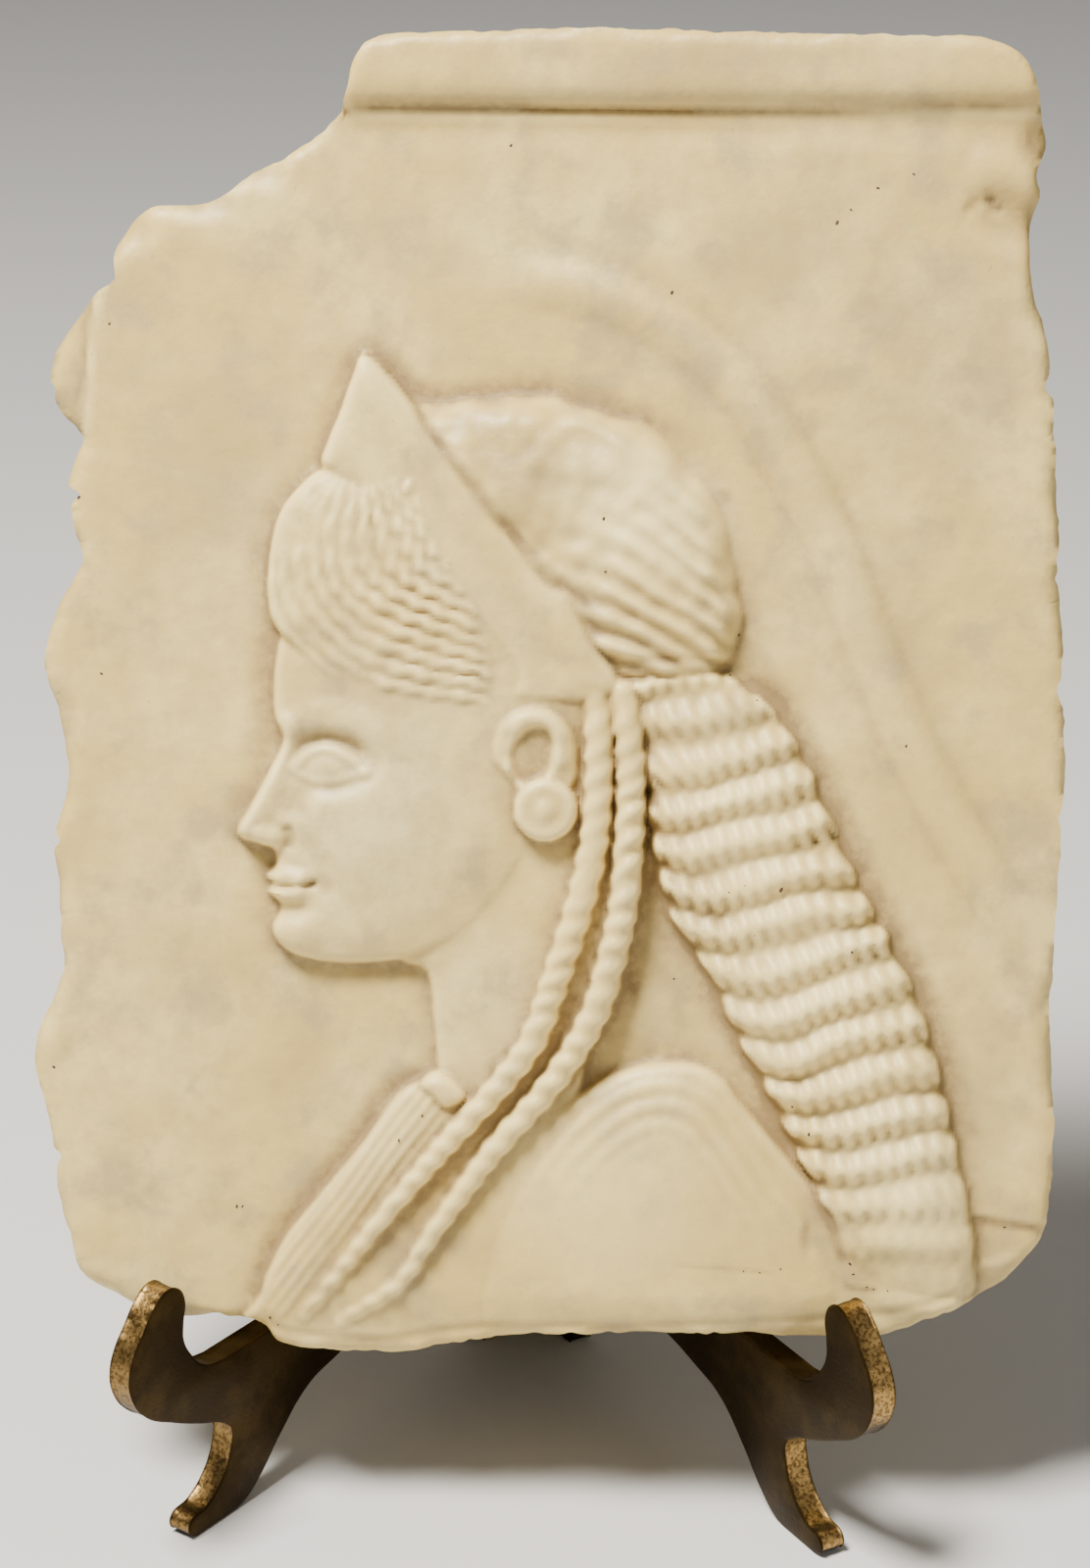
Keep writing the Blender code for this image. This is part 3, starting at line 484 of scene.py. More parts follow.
def smooth_line(points, closed=False, steps=6):
    """A Catmull-Rom curve through the given points, as an array of (s, t)."""
    points = np.array(points, float)
    if closed:
        padded = np.vstack([points[-1], points, points[:2]])
    else:
        padded = np.vstack([2 * points[0] - points[1], points, 2 * points[-1] - points[-2]])
    made = []
    for before, start, end, after in zip(padded, padded[1:], padded[2:], padded[3:]):
        for x in np.arange(steps) / steps:
            made.append(
                start
                + 0.5 * x * (end - before)
                + x * x * (before - 2.5 * start + 2 * end - 0.5 * after)
                + 0.5 * x**3 * (3 * start - before - 3 * end + after)
            )
    if not closed:
        made.append(points[-1])
    return np.array(made)


def window(low, high):
    """The part of the net between two corners."""
    columns = np.clip(((np.array([low[0], high[0]]) - S[0, 0]) / NET).astype(int), 0, S.shape[1])
    rows = np.clip(((np.array([low[1], high[1]]) - T[0, 0]) / NET).astype(int), 0, S.shape[0])
    return slice(rows[0], rows[1] + 1), slice(columns[0], columns[1] + 1)


def trace(line, reach, closed=False):
    """For each place within reach of a line: its distance, the length along and the side."""
    part = window(line.min(0) - reach, line.max(0) + reach)
    distance = np.full(S.shape, 2.0 * reach)
    along = np.zeros(S.shape)
    side = np.zeros(S.shape)
    walked = 0.0
    ends = np.roll(line, -1, axis=0) if closed else line[1:]
    for start, end in zip(line, ends):
        run = end - start
        length = max(np.hypot(*run), 1e-9)
        near = window(np.minimum(start, end) - reach, np.maximum(start, end) + reach)
        ds, dt = S[near] - start[0], T[near] - start[1]
        share = np.clip((ds * run[0] + dt * run[1]) / length**2, 0, 1)
        off = np.hypot(ds - share * run[0], dt - share * run[1])
        closer = off < distance[near]
        distance[near] = np.where(closer, off, distance[near])
        along[near] = np.where(closer, walked + share * length, along[near])
        side[near] = np.where(closer, np.sign(run[0] * dt - run[1] * ds), side[near])
        walked += length
    return part, distance[part], along[part], side[part], walked


def depth_inside(line, reach):
    """How far each place lies inside a closed line, up to reach, and negative outside."""
    part, distance, _, _, _ = trace(line, reach, closed=True)
    inside = np.zeros(S.shape, bool)
    for (s0, t0), (s1, t1) in zip(line, np.roll(line, -1, axis=0)):
        rows = window((S[0, 0], min(t0, t1) - NET), (S[0, -1], max(t0, t1) + NET))[0]
        t = T[rows]
        reach_s = s0 + (t - t0) * (s1 - s0) / (t1 - t0 if t1 != t0 else 1e-9)
        inside[rows] ^= ((t0 > t) != (t1 > t)) & (S[rows] < reach_s)
    distance = np.minimum(distance, reach)
    return part, np.where(inside[part], distance, -distance)


def swell(depth, width):
    """A quarter-round rise from 0 at the edge to 1 at width inside it."""
    return np.sqrt(1 - (1 - np.clip(depth / width, 0, 1)) ** 2)


def bump(distance, radius):
    """A soft round bump, 1 at its middle and 0 at its radius."""
    return np.clip(1 - (distance / radius) ** 2, 0, 1) ** 1.5


def step(value, start, end):
    """A smooth step from 0 at start to 1 at end."""
    x = np.clip((value - start) / (end - start), 0, 1)
    return x * x * (3 - 2 * x)


def soften(form, radius):
    """The form blurred over a radius."""
    across = np.exp(-2 * (pi * radius / NET * np.fft.rfftfreq(S.shape[1])) ** 2)
    up = np.exp(-2 * (pi * radius / NET * np.fft.fftfreq(S.shape[0])) ** 2)
    return np.fft.irfft2(np.fft.rfft2(form) * up[:, None] * across[None], s=S.shape)


def eased(part, distance, radius):
    """Distances whose sharp creases are smoothed away, so that rows turn in round bends."""
    whole = np.full(S.shape, distance.min())
    whole[part] = distance
    return soften(whole, radius)[part]


chance = np.random.default_rng(11)


def lumps(size):
    """Random soft lumps of about this size, between about -1 and 1."""
    made = soften(chance.standard_normal(S.shape), size)
    return made / (2.2 * made.std())


def add_ridge(form, points, radius, amount, fade=0.0):
    """Raises a soft ridge along a line, or cuts a groove where the amount is negative."""
    part, distance, along, _, total = trace(smooth_line(points), radius)
    ends = step(along, 0, fade) * step(total - along, 0, fade) if fade else 1.0
    form[part] += amount * bump(distance, radius) * ends


def add_mound(form, middle, size, amount, turn=0.0):
    """Raises a soft oval mound, or sinks a hollow where the amount is negative."""
    reach = max(size)
    part = window(np.array(middle) - reach, np.array(middle) + reach)
    ds, dt = S[part] - middle[0], T[part] - middle[1]
    c, d = cos(radians(turn)), sin(radians(turn))
    away = np.hypot((c * ds + d * dt) / size[0], (c * dt - d * ds) / size[1])
    form[part] += amount * bump(away, 1.0)


OUTLINE = smooth_line(
    [
        (-36, 219), (-34.5, 225), (-30.5, 229.5), (-18, 230.5), (15, 231.5), (45, 230.7),
        (65, 230.7), (74, 229.8), (80, 225), (82.8, 215), (83.3, 211), (82, 206), (82.6, 203),
        (81, 198), (81.3, 190), (84.5, 178), (86.5, 160), (87.5, 138), (88.8, 122), (89.5, 108),
        (88.8, 88), (88.2, 68), (88.6, 50), (89.2, 42), (88.2, 26), (83.5, 18), (77, 12.5),
        (67.5, 8.6), (60, REST_T + 0.5), (52, REST_T), (38, REST_T), (22, 5.3), (0, 4.5),
        (-16, 2.1), (-25.7, 0.2), (-36, 0.5), (-45, 1.6), (-49, REST_T), (-55, REST_T + 0.2),
        (-65, REST_T), (-74, 8.6), (-80.5, 12.5), (-83.3, 19), (-85.5, 29), (-87.2, 42),
        (-89.4, 50), (-88.7, 56), (-85, 67), (-85.5, 81), (-86.2, 90), (-84, 99), (-85.2, 111),
        (-88.2, 121), (-86, 130), (-81.6, 138), (-83.2, 145), (-84.2, 152), (-81.7, 159.5),
        (-85.5, 163.5), (-88.6, 169.5), (-86, 176.5), (-79.5, 185), (-75.5, 193), (-70.5, 199.5),
        (-60, 200.7), (-53, 205.2), (-44.5, 209.5), (-38.5, 214.5),
    ],
    closed=True,
    steps=5,
)


def panel_form():
    """The panel: hand-worked unevenness, the veil's faint ridge and the moulded top band."""
    form = 0.3 * lumps(11) + 0.1 * lumps(3.5)
    veil = [
        (-14.3, 190.2), (9.2, 185.5), (22.7, 178.2), (32.9, 169.2), (43.3, 152.6), (48.5, 142.7),
        (57.4, 121), (64.4, 105.9), (73.2, 90.8), (85.4, 72.4),
    ]
    add_ridge(form, veil, 5.0, 1.3, fade=20)
    part, distance, along, side, total = trace(smooth_line(veil), 30)
    ends = step(along, 0, 30) * step(total - along, 0, 20)
    form[part] -= 0.45 * step(distance * side, 0, 5) * step(30 - distance, 0, 24) * ends
    rise = T - 216.2 - 0.012 * S
    band = 3.4 * swell(rise - 0.3, 5.2) ** 1.25 + 0.4 * bump(rise + 0.7, 1.0) - 0.3 * bump(rise - 0.3, 0.8)
    band += 0.18 * lumps(7) * step(rise, 4, 6) - 0.15 * bump(rise + 3.2, 3.0) * step(S, -40, 20)
    return form * (1 - step(rise, -3, 1)) + band


# The head's own lines. The face is a plain classical profile of three equal parts.
FACE_TOP = 129.0
FACE_LENGTH = 58.5
FACE_LINE = -46.5
PROFILE = [
    (0.00, -1.0), (0.10, 0.6), (0.20, 1.1), (0.29, 0.8), (0.355, -0.6), (0.44, 1.7),
    (0.53, 4.4), (0.61, 7.0), (0.650, 6.6), (0.672, 3.2), (0.685, 0.9), (0.725, 0.5),
    (0.760, 2.0), (0.783, 0.9), (0.808, 1.7), (0.850, -0.5), (0.905, 0.9), (0.955, 0.1),
    (1.00, -3.6),
]


def on_face(*places):
    """Turns (inward from the profile, share of the face's length down) into (s, t)."""
    return [(FACE_LINE + inward, FACE_TOP - FACE_LENGTH * down) for inward, down in places]


def soft_join(first, second, blend):
    """The higher of two forms, with a rounded inner corner where they meet."""
    near = np.clip(1 - np.abs(first - second) / blend, 0, 1)
    return np.maximum(first, second) + 0.25 * blend * near**2


def face_form():
    """The face: one rounded mass, with brow, eye, nose, lips and chin modelled on to it."""
    outline = smooth_line(
        [(FACE_LINE - out, FACE_TOP - FACE_LENGTH * part) for part, out in PROFILE]
        + [
            (-36, 69.4), (-27, 69.8), (-20, 71.5), (-12, 77), (-5, 86), (0, 96), (10, 118),
            (0, 136), (-20, 140), (-40, 135),
        ],
        closed=True,
    )
    part, depth = depth_inside(outline, 20)
    form = np.zeros(S.shape)
    edge = np.zeros(S.shape)
    form[part] = 2.3 * swell(depth, 1.7) + 3.3 * swell(depth, 19)
    edge[part] = step(depth, 0, 1.6)
    detail = np.zeros(S.shape)
    add_mound(detail, *on_face((8.8, 0.415)), (10.5, 7.0), -2.1)
    add_ridge(detail, on_face((1.0, 0.325), (8, 0.285), (16, 0.312), (22, 0.37)), 4.2, 0.7, fade=6)
    add_ridge(detail, on_face((0.5, 0.33), (-2.2, 0.47), (-5.2, 0.60)), 4.4, 1.7)
    add_ridge(detail, on_face((4.4, 0.47), (3.6, 0.54), (3.4, 0.60)), 3.4, -0.8, fade=3)
    add_mound(detail, *on_face((8.8, 0.420)), (6.4, 4.0), 2.3)
    add_ridge(detail, on_face((3.0, 0.432), (5.4, 0.386), (9.0, 0.372), (12.6, 0.398), (15.6, 0.44)), 1.3, 0.8)
    add_ridge(detail, on_face((3.6, 0.450), (6.6, 0.470), (10.2, 0.470), (15.0, 0.444)), 1.1, 0.55)
    add_ridge(detail, on_face((3.4, 0.375), (7.8, 0.338), (12.6, 0.355), (16.4, 0.40)), 1.5, -0.5, fade=3)
    add_mound(detail, *on_face((-1.4, 0.645)), (3.6, 2.9), 1.9)
    add_ridge(detail, on_face((1.6, 0.600), (2.5, 0.64), (1.8, 0.68)), 1.5, -0.8, fade=1)
    add_mound(detail, *on_face((-3.4, 0.668)), (1.6, 0.9), -1.1)
    add_ridge(detail, on_face((-1.8, 0.755), (2.4, 0.758), (6.6, 0.775)), 2.4, 1.2, fade=2.4)
    add_ridge(detail, on_face((-1.6, 0.814), (2.2, 0.810), (6.0, 0.790)), 2.6, 1.3, fade=2.4)
    add_ridge(detail, on_face((-2.6, 0.784), (1.0, 0.787), (4.4, 0.781), (7.6, 0.777)), 0.9, -1.15, fade=1)
    add_mound(detail, *on_face((8.4, 0.778)), (2.6, 2.6), -0.6)
    add_mound(detail, *on_face((2.0, 0.855)), (5.0, 2.6), -0.8)
    add_mound(detail, *on_face((3.0, 0.920)), (7.5, 5.6), 1.1)
    add_mound(detail, *on_face((16.0, 0.60)), (14.0, 13.0), 1.2)
    add_ridge(detail, on_face((4.0, 0.62), (8.0, 0.70), (10.0, 0.76)), 3.0, -0.5, fade=4)
    return form + detail * edge * (form > 0)


def neck_form():
    """The neck, a broad column that dips under the jaw and behind the locks."""
    outline = smooth_line(
        [
            (-26, 72), (-20.5, 68), (-19.2, 60), (-18.6, 50), (-22, 44), (-10, 30), (4, 40),
            (9, 58), (15, 74), (16, 100), (10, 122), (-10, 118), (-20, 90),
        ],
        closed=True,
    )
    part, depth = depth_inside(outline, 14)
    form = np.zeros(S.shape)
    form[part] = 1.5 * swell(depth, 1.5) + 2.1 * swell(depth, 13)
    return form


def fringe_form():
    """The front hair: crimped rows that fan out from the peak, side by side with the hairline."""
    hairline = smooth_line(
        [
            (-37.6, 157.2), (-42.0, 153.6), (-46.2, 148.4), (-48.5, 141.5), (-48.9, 133.2),
            (-47, 127.2), (-42.1, 122.4), (-35, 116.5), (-26.5, 114), (-11, 112.5),
        ]
    )
    outline = smooth_line(
        [
            (-39.2, 155.4), (-43.2, 152.1), (-46.4, 148), (-48.2, 141.5), (-48.6, 132.2),
            (-47, 127.2), (-42.1, 122.4), (-35, 116.5), (-26.5, 114), (-11, 112.5), (-8, 122),
            (-16, 142), (-28, 160),
        ],
        closed=True,
    )
    part, depth = depth_inside(outline, 12)
    form = np.zeros(S.shape)
    form[part] = 3.2 * swell(depth, 1.8) + 3.0 * swell(depth, 12)
    part, distance, along, side, _ = trace(hairline, 34)
    outer = eased(part, distance * side, 2.5)
    inner = np.clip(-0.570 * (S[part] + 35) - 0.822 * (T[part] - 158.5), 0, None)
    pitch = (np.clip(outer, 0, None) + inner + 4) / 13
    wave = 2 * pi * 0.75 * (S[part] - T[part]) / 4.3 + 2.0 * lumps(4)[part]
    right = step(S[part], -40, -22)
    wavy = 0.12 + 0.15 * right
    uneven = lumps(3)[part]
    phase = (outer + wavy * np.sin(wave) + 0.4 * uneven) / pitch
    strands = np.abs(np.sin(pi * phase)) ** 0.9
    crimps = 0.5 + 0.5 * np.cos(wave - 1.0)
    worn = (0.85 + 0.6 * lumps(2.2)[part]) * (0.62 + 0.38 * right) * step(pitch, 0.7, 1.6)
    form[part] += (form[part] > 0.6) * (strands * (1.05 + 0.25 * crimps) * worn + 0.2 * lumps(1.0)[part])
    return form


def diadem_form():
    """A smooth upright band, a little hollow across, with a raised rim at the back."""
    back = smooth_line(
        [
            (-32, 174.6), (-24.2, 167), (-10.2, 149), (-5, 143), (0, 136.8), (4.2, 134.4),
            (8, 127), (11, 121.5),
        ]
    )
    outline = smooth_line(
        [
            (-32, 174.6), (-24.2, 167), (-10.2, 149), (-5, 143), (0, 136.8), (4.2, 134.4),
            (8, 127), (12.6, 119.6), (9, 115.6), (-2, 115.2), (-7.8, 116), (-6.2, 121),
            (-11.8, 128.4), (-17.2, 134.6), (-28, 144.6), (-34.6, 152), (-39.4, 155.6),
            (-38.4, 160.2), (-36.4, 165.2), (-34.6, 170.4),
        ],
        closed=True,
    )
    part, depth = depth_inside(outline, 8)
    form = np.zeros(S.shape)
    form[part] = 4.4 * swell(depth, 1.7) + 1.9 * swell(depth, 6)
    part, distance, along, _, total = trace(back, 15)
    ends = step(along, 0, 9) * step(total - along, 0, 6)
    hollow = 0.55 * step(distance, 3.0, 7.5) * step(15 - distance, 0, 7)
    form[part] += (form[part] > 1.0) * (0.35 * bump(distance - 2.4, 4.0) - hollow) * ends
    return form


def crown_form():
    """The hair over the skull, in soft slanting waves that are worn smooth on top."""
    outline = smooth_line(
        [
            (-28, 164), (-20.5, 166.6), (-6, 167.3), (3, 167.6), (14.7, 163.5), (24.8, 156),
            (29.5, 147), (31.8, 136), (32.7, 127), (30, 121), (18, 118), (6, 122), (-8, 138),
        ],
        closed=True,
    )
    part, depth = depth_inside(outline, 16)
    s, t = S[part], T[part]
    bend = t + s * (0.32 + 0.011 * (t - 122)) + 0.011 * (s - 8) ** 2 + 1.2 * lumps(4)[part]
    waves = 0.5 * np.cos(2 * pi * bend / 5.6) * (1 + 0.5 * lumps(3)[part])
    worn = 0.16 + 0.84 * (1 - step(t - 0.5 * s, 126, 146))
    form = np.zeros(S.shape)
    ragged = depth + 0.9 * lumps(2)[part]
    form[part] = 2.4 * step(ragged, -0.5, 4.5) + 3.9 * swell(ragged, 16)
    form[part] += 1.35 * waves * worn * step(depth, 0, 4) * (0.85 + 0.5 * lumps(5)[part])
    form += step(form, 1.5, 4) * (0.75 * lumps(2.4) * step(T - 0.5 * S, 128, 146) + 0.34 * lumps(1.1))
    add_ridge(form, [(12, 120.6), (22, 121.4), (31.5, 120.9)], 1.3, 0.5, fade=4)
    add_ridge(form, [(11, 122.8), (21, 123.6), (32, 123.2)], 1.0, -0.45, fade=4)
    return form


def long_hair_form():
    """The hair down the back: thirteen crimped rolls, each notched along its lower side."""
    outline = smooth_line(
        [
            (13.5, 119), (16.6, 106), (18.2, 92), (22, 79), (28, 70), (32, 61.3), (38.6, 49.4),
                (45, 37), (49.3, 27.2), (52.5, 16), (54.5, 6), (56, -2), (74, -2), (75.5, 8), (76, 17),
            (74.8, 27), (71.3, 42.4), (67.6, 56.8), (62.6, 70), (54.7, 84.3), (49.2, 96.2),
            (44, 107.3), (38, 116), (30, 121), (20, 121),
        ],
        closed=True,
    )
    course = smooth_line([(22.5, 124), (27, 112), (34, 96), (43, 74), (54, 50), (62, 28), (66, 10)])
    part, distance, along, side, _ = trace(course, 26)
    across = distance * side
    uneven = lumps(4.5)[part]
    slanted = along - 0.16 * across + 0.035 * np.clip(-across - 6, 0, 20) ** 2
    roll = (slanted + 0.85 * uneven + 0.45 * lumps(2.2)[part]) / 7.55
    number = np.floor(roll)
    ribs = np.cos(2 * pi * across / 2.9 + 2.3 * number + 1.6 * uneven)
    phase = np.clip(roll - number + 0.05 * ribs, 0, 1)
    swelling = (0.5 - 0.5 * np.cos(2 * pi * phase**1.15)) ** 0.7
    valley = step(phase, 0.5, 0.78) * (1 - step(phase, 0.9, 1.0))
    deep = np.clip(0.75 + 0.7 * lumps(3.2)[part], 0.1, 1.6)
    notches = -1.0 * deep * valley * np.clip(ribs, 0, 1) + 0.2 * ribs * swelling
    end = step(along, 0, 4) * (1 - 0.75 * step(along, 84, 112)) * (0.95 + 0.2 * lumps(6)[part])
    rows = np.zeros(S.shape)
    rows[part] = (2.0 * (swelling - 0.6) + notches) * end
    part, depth = depth_inside(outline, 12)
    form = np.zeros(S.shape)
    ragged = depth + 0.35 * rows[part]
    form[part] = 2.6 * swell(ragged, 2.0) + 3.2 * swell(ragged, 11)
    lower = 0.35 + 0.65 * step(T, 6, 30)
    form += (form > 0) * (rows * step(form, 0.3, 3.2) + 0.24 * lumps(1.1))
    return form * lower


def tress_form():
    """Two twisted locks, thinner towards their ends, that fall before the shoulder."""
    form = np.zeros(S.shape)
    for points, turn in (
        (
            [
                (8.6, 117), (9.2, 104), (8.2, 90), (5.4, 78), (1.6, 66), (-1.6, 57), (-7.6, 48.5),
                (-18, 36.6), (-28, 24.4), (-35.4, 14.6), (-41, 7.3),
            ],
            0.0,
        ),
        (
            [
                (13.1, 117.5), (14.6, 104), (14.4, 90), (13.6, 80), (11.2, 69), (8.2, 60),
                (1.8, 49.6), (-8.2, 37.4), (-18.6, 22.6), (-24.4, 13.6), (-34.5, 6.4),
            ],
            1.7,
        ),
    ):
        part, distance, along, side, total = trace(smooth_line(points), 3.4)
        uneven = lumps(3)[part]
        thick = 2.5 * (1 - 0.42 * step(along, 0.35 * total, total))
        strand = 2 * pi * along / 4.5 + turn + 1.5 * lumps(4)[part]
        waist = 1 + 0.08 * np.cos(strand + 0.9 * side * distance)
        radius = thick * waist
        across = side * distance / radius
        rope = np.sqrt(np.clip(1 - across**2, 0, 1))
        twist = 0.105 * np.cos(strand + 1.3 * across + 0.9 * uneven) * rope * (1 + 0.7 * uneven)
        bed = 4.4 - 1.5 * step(along, 0.78 * total, total) - 1.4 * (1 - step(along, 0, 7))
        height = bed + 1.15 * thick * (rope + twist)
        form[part] = np.maximum(form[part], np.where(distance < radius, height, 0))
    return form


def clothing_form():
    """The bust: a domed shoulder with soft folds, the pleated front and the neckline's knot."""
    torso = smooth_line(
        [
            (-18, 48.5), (-23.7, 47.3), (-31.4, 37.3), (-39.7, 27.1), (-45.6, 19.2), (-49, 11),
            (-50, -2), (20, -4), (90, 2), (60, 20), (46, 34), (34.4, 47), (31, 51.2),
            (25.7, 53.4), (19, 53.3), (12.8, 51.4), (4, 47), (-4, 48),
        ],
        closed=True,
    )
    shoulder = smooth_line(
        [
            (-8.5, 26.3), (0, 40), (6.3, 46.5), (12.8, 51.4), (19.3, 53.3), (25.7, 53.4),
            (31, 51.2), (34.4, 47), (42, 36), (54, 14), (40, -6), (0, -8), (-12, 6),
        ],
        closed=True,
    )
    front = smooth_line(
        [
            (-17.6, 49.4), (-24.4, 47.6), (-31.4, 38), (-39.7, 27.6), (-45.6, 19.6), (-48.6, 11),
            (-49.4, 4.2), (-42, 4.6), (-37.5, 11), (-27.5, 24.5), (-14.5, 40),
        ],
        closed=True,
    )
    form = np.zeros(S.shape)
    part, depth = depth_inside(torso, 8)
    form[part] = 1.5 * swell(depth, 1.6) + 2.0 * swell(depth, 7)
    part, depth = depth_inside(shoulder, 20)
    course = eased(part, depth, 3.5)
    folds = (0.08 + 0.13 * lumps(8)[part]) * np.cos(2 * pi * course / 3.3) * step(depth, 0.8, 2.4) * step(15 - depth, 0, 8)
    folds *= step(T[part] + 0.25 * S[part], 22, 44) * (1 - 0.7 * step(S[part], 30, 44))
    dome = 1.7 * swell(depth, 2.2) + 3.6 * swell(depth, 18) + folds
    form[part] = np.maximum(form[part], np.where(depth > 0, dome, 0))
    part, depth = depth_inside(front, 9)
    across = 0.81 * S[part] - 0.585 * T[part] + 0.7 * lumps(5)[part]
    pleats = 0.3 * np.cos(2 * pi * across / 1.85) * step(depth, 0.4, 1.6) * (0.7 + 0.6 * lumps(5)[part])
    sheet = 1.3 * swell(depth, 1.2) + 3.0 * swell(depth, 9) + pleats
    form[part] = np.maximum(form[part], np.where(depth > 0, sheet, 0))
    collar = smooth_line(
        [(-21.2, 49.0), (-18.4, 51.2), (-14.8, 50.0), (-12.6, 46.6), (-16.4, 44.4), (-19.4, 46.6)],
        closed=True,
    )
    part, depth = depth_inside(collar, 4)
    block = 3.2 * swell(depth, 1.2) + 2.2 * swell(depth, 3.4)
    form[part] = np.maximum(form[part], np.where(depth > 0, block, 0))
    return form


def ear_form():
    """The ear with its rolled rim, hollow and lobe, and the round earring hung below it."""
    form = np.zeros(S.shape)
    shell = smooth_line(
        [
            (-8.8, 104.6), (-9.4, 109.4), (-6.8, 113.6), (-2.2, 115.2), (2.2, 113.6), (5, 109.2),
            (5.2, 103.6), (3.6, 99.6), (-0.4, 98.2), (-4.4, 99), (-6.2, 101.4),
        ],
        closed=True,
    )
    part, depth = depth_inside(shell, 5)
    form[part] = np.where(depth > 0, 4.7 + 1.7 * swell(depth, 1.9), 0)
    body = form > 0
    detail = np.zeros(S.shape)
    add_mound(detail, (-2.2, 106.6), (4.1, 5.9), -5.6, turn=-20)
    add_ridge(detail, [(-6.6, 110.0), (-3.4, 113.0), (0.8, 112.4), (2.9, 108.6), (2.8, 104)], 2.0, 0.7, fade=2)
    add_ridge(detail, [(2.6, 111.0), (4.2, 107.4), (3.8, 103.0), (1.6, 100.2)], 2.2, -0.8, fade=3)
    add_ridge(detail, [(-1.4, 104.6), (0.4, 106.4), (0.8, 109.2)], 1.5, 0.9, fade=2)
    add_mound(detail, (-5.6, 104.4), (2.6, 2.4), 0.9)
    add_ridge(detail, [(-8.6, 104.2), (-6.4, 102.2), (-5.2, 100.6)], 1.4, -0.9)
    form += detail * body
    disc_s, disc_t, disc_radius = 0.1, 97.3, 5.5
    part = window((disc_s - 7, disc_t - 7), (disc_s + 7, disc_t + 7))
    away = np.hypot(S[part] - disc_s, T[part] - disc_t)
    disc = 5.9 + 1.7 * swell(disc_radius - away, 1.8) - 0.15 * bump(away - 3.0, 1.2) + 0.8 * bump(away, 2.2)
    form[part] = np.maximum(form[part], np.where(away < disc_radius, disc, 0))
    return form


def damage_form():
    """What is knocked off: two corners, a spall with a deep crevice, a ledge, nicks and pits."""
    form = np.zeros(S.shape)
    corner = step(S + 0.18 * (26 - T), 74.5, 77) * step(26.0 + 0.10 * (82 - S) - T, 0, 1.6)
    form -= 0.8 * corner + 0.09 * corner * np.clip(24 - T, 0, 14)
    add_ridge(form, [(75, 26.7), (81, 26.0), (88, 25.2)], 1.3, -0.7)
    add_ridge(form, [(88, 24.1), (83, 20.5), (78.4, 18.6), (75, 19.5)], 1.6, 0.5, fade=2)
    add_ridge(form, [(69, 209), (76, 207), (84, 204)], 4.5, 0.7, fade=4)
    add_mound(form, (77.5, 199.0), (8.5, 6.5), -1.5, turn=-20)
    add_ridge(form, [(68.3, 198.8), (70.5, 201.4), (73.2, 203.4)], 1.4, -0.5, fade=3)
    add_ridge(form, [(73.2, 203.4), (74.4, 201.4), (76.6, 200.8)], 1.3, -0.8, fade=1)
    add_mound(form, (81, 212), (3.4, 5.0), -0.9)
    lump_line = np.interp(T, (160, 165, 178, 184, 190), (-81.0, -80.6, -79.4, -79.0, -76.0))
    beyond = step(lump_line - S, -0.4, 1.6) * step(T, 158, 162) * step(190 - T, 0, 8)
    form -= beyond * (2.6 + 0.3 * np.clip(lump_line - S, 0, 9))
    ledge = [
        (-49.0, 6.6), (-44, 4.4), (-36, 3.6), (-25.7, 3.4), (-13.6, 5.6), (1.8, 6.8), (25.8, 7.8),
        (51.4, 9.4), (68.4, 12.4), (78.5, 17.5),
    ]
    add_ridge(form, ledge, 1.2, -0.4, fade=5)
    for line in (
        [(22.5, 18.4), (31, 18.0), (42.2, 17.2)],
        [(53.0, 17.0), (54.0, 14.8), (60, 14.5)],
        [(-72, 29), (-66, 40), (-58, 52)],
    ):
        add_ridge(form, line, 0.6, -0.16, fade=3)
    for place, size, amount in (
        ((-60, 200), (7, 3), -1.0), ((-72, 196), (4, 5), -0.9), ((-50, 205), (5, 3), -0.8),
        ((-84, 112), (3, 6), -0.8), ((-83, 142), (3, 4), -0.9), ((-86, 82), (3, 7), -0.7),
        ((-87, 55), (4, 5), 0.8), ((-66, 7), (8, 2.4), -0.8), ((-30, 2), (9, 2.2), -0.7),
        ((14, 6), (7, 1.8), -0.6), ((40, 6.5), (9, 1.8), -0.5), ((64, 9.5), (6, 2.2), -0.7),
        ((83, 186), (2.6, 6), -0.7), ((87, 150), (2.2, 8), -0.5), ((86, 64), (2.4, 7), -0.6),
    ):
        add_mound(form, place, size, amount)
    return form


def join_forms():
    """The carved face above the flat back, and where it is bare of carving."""
    raised = soft_join(face_form(), neck_form(), 1.4)
    for make in (
        clothing_form, long_hair_form, crown_form, fringe_form, tress_form, ear_form, diadem_form,
    ):
        raised = np.maximum(raised, make())
    raised *= 0.45 + 0.55 * step(T, 2, 14)
    raised = soften(raised, 0.22)
    beside = soften((raised > 0.4).astype(float), 3.0) * (raised < 0.4)
    body = panel_form() - 0.9 * soften(beside, 0.8) + raised + soften(damage_form(), 0.25)
    body += 0.05 * lumps(0.9) + 0.07 * lumps(2.0)
    return SLAB_THICKNESS + body


body = join_forms()
part, depth = depth_inside(OUTLINE, RIM_ROUND + 4)
edge_depth = np.full(S.shape, -1.0)
edge_depth[part] = depth
rim_round = RIM_ROUND * (0.7 + 0.35 * lumps(4) + 0.22 * lumps(1.3)) * (1 - 0.3 * step(T, 214, 222))
rim_round = np.clip(rim_round, 0.6, None)
rounding = np.clip(edge_depth, 0, rim_round)
height = body - rim_round + np.sqrt(rim_round**2 - (rim_round - rounding) ** 2)


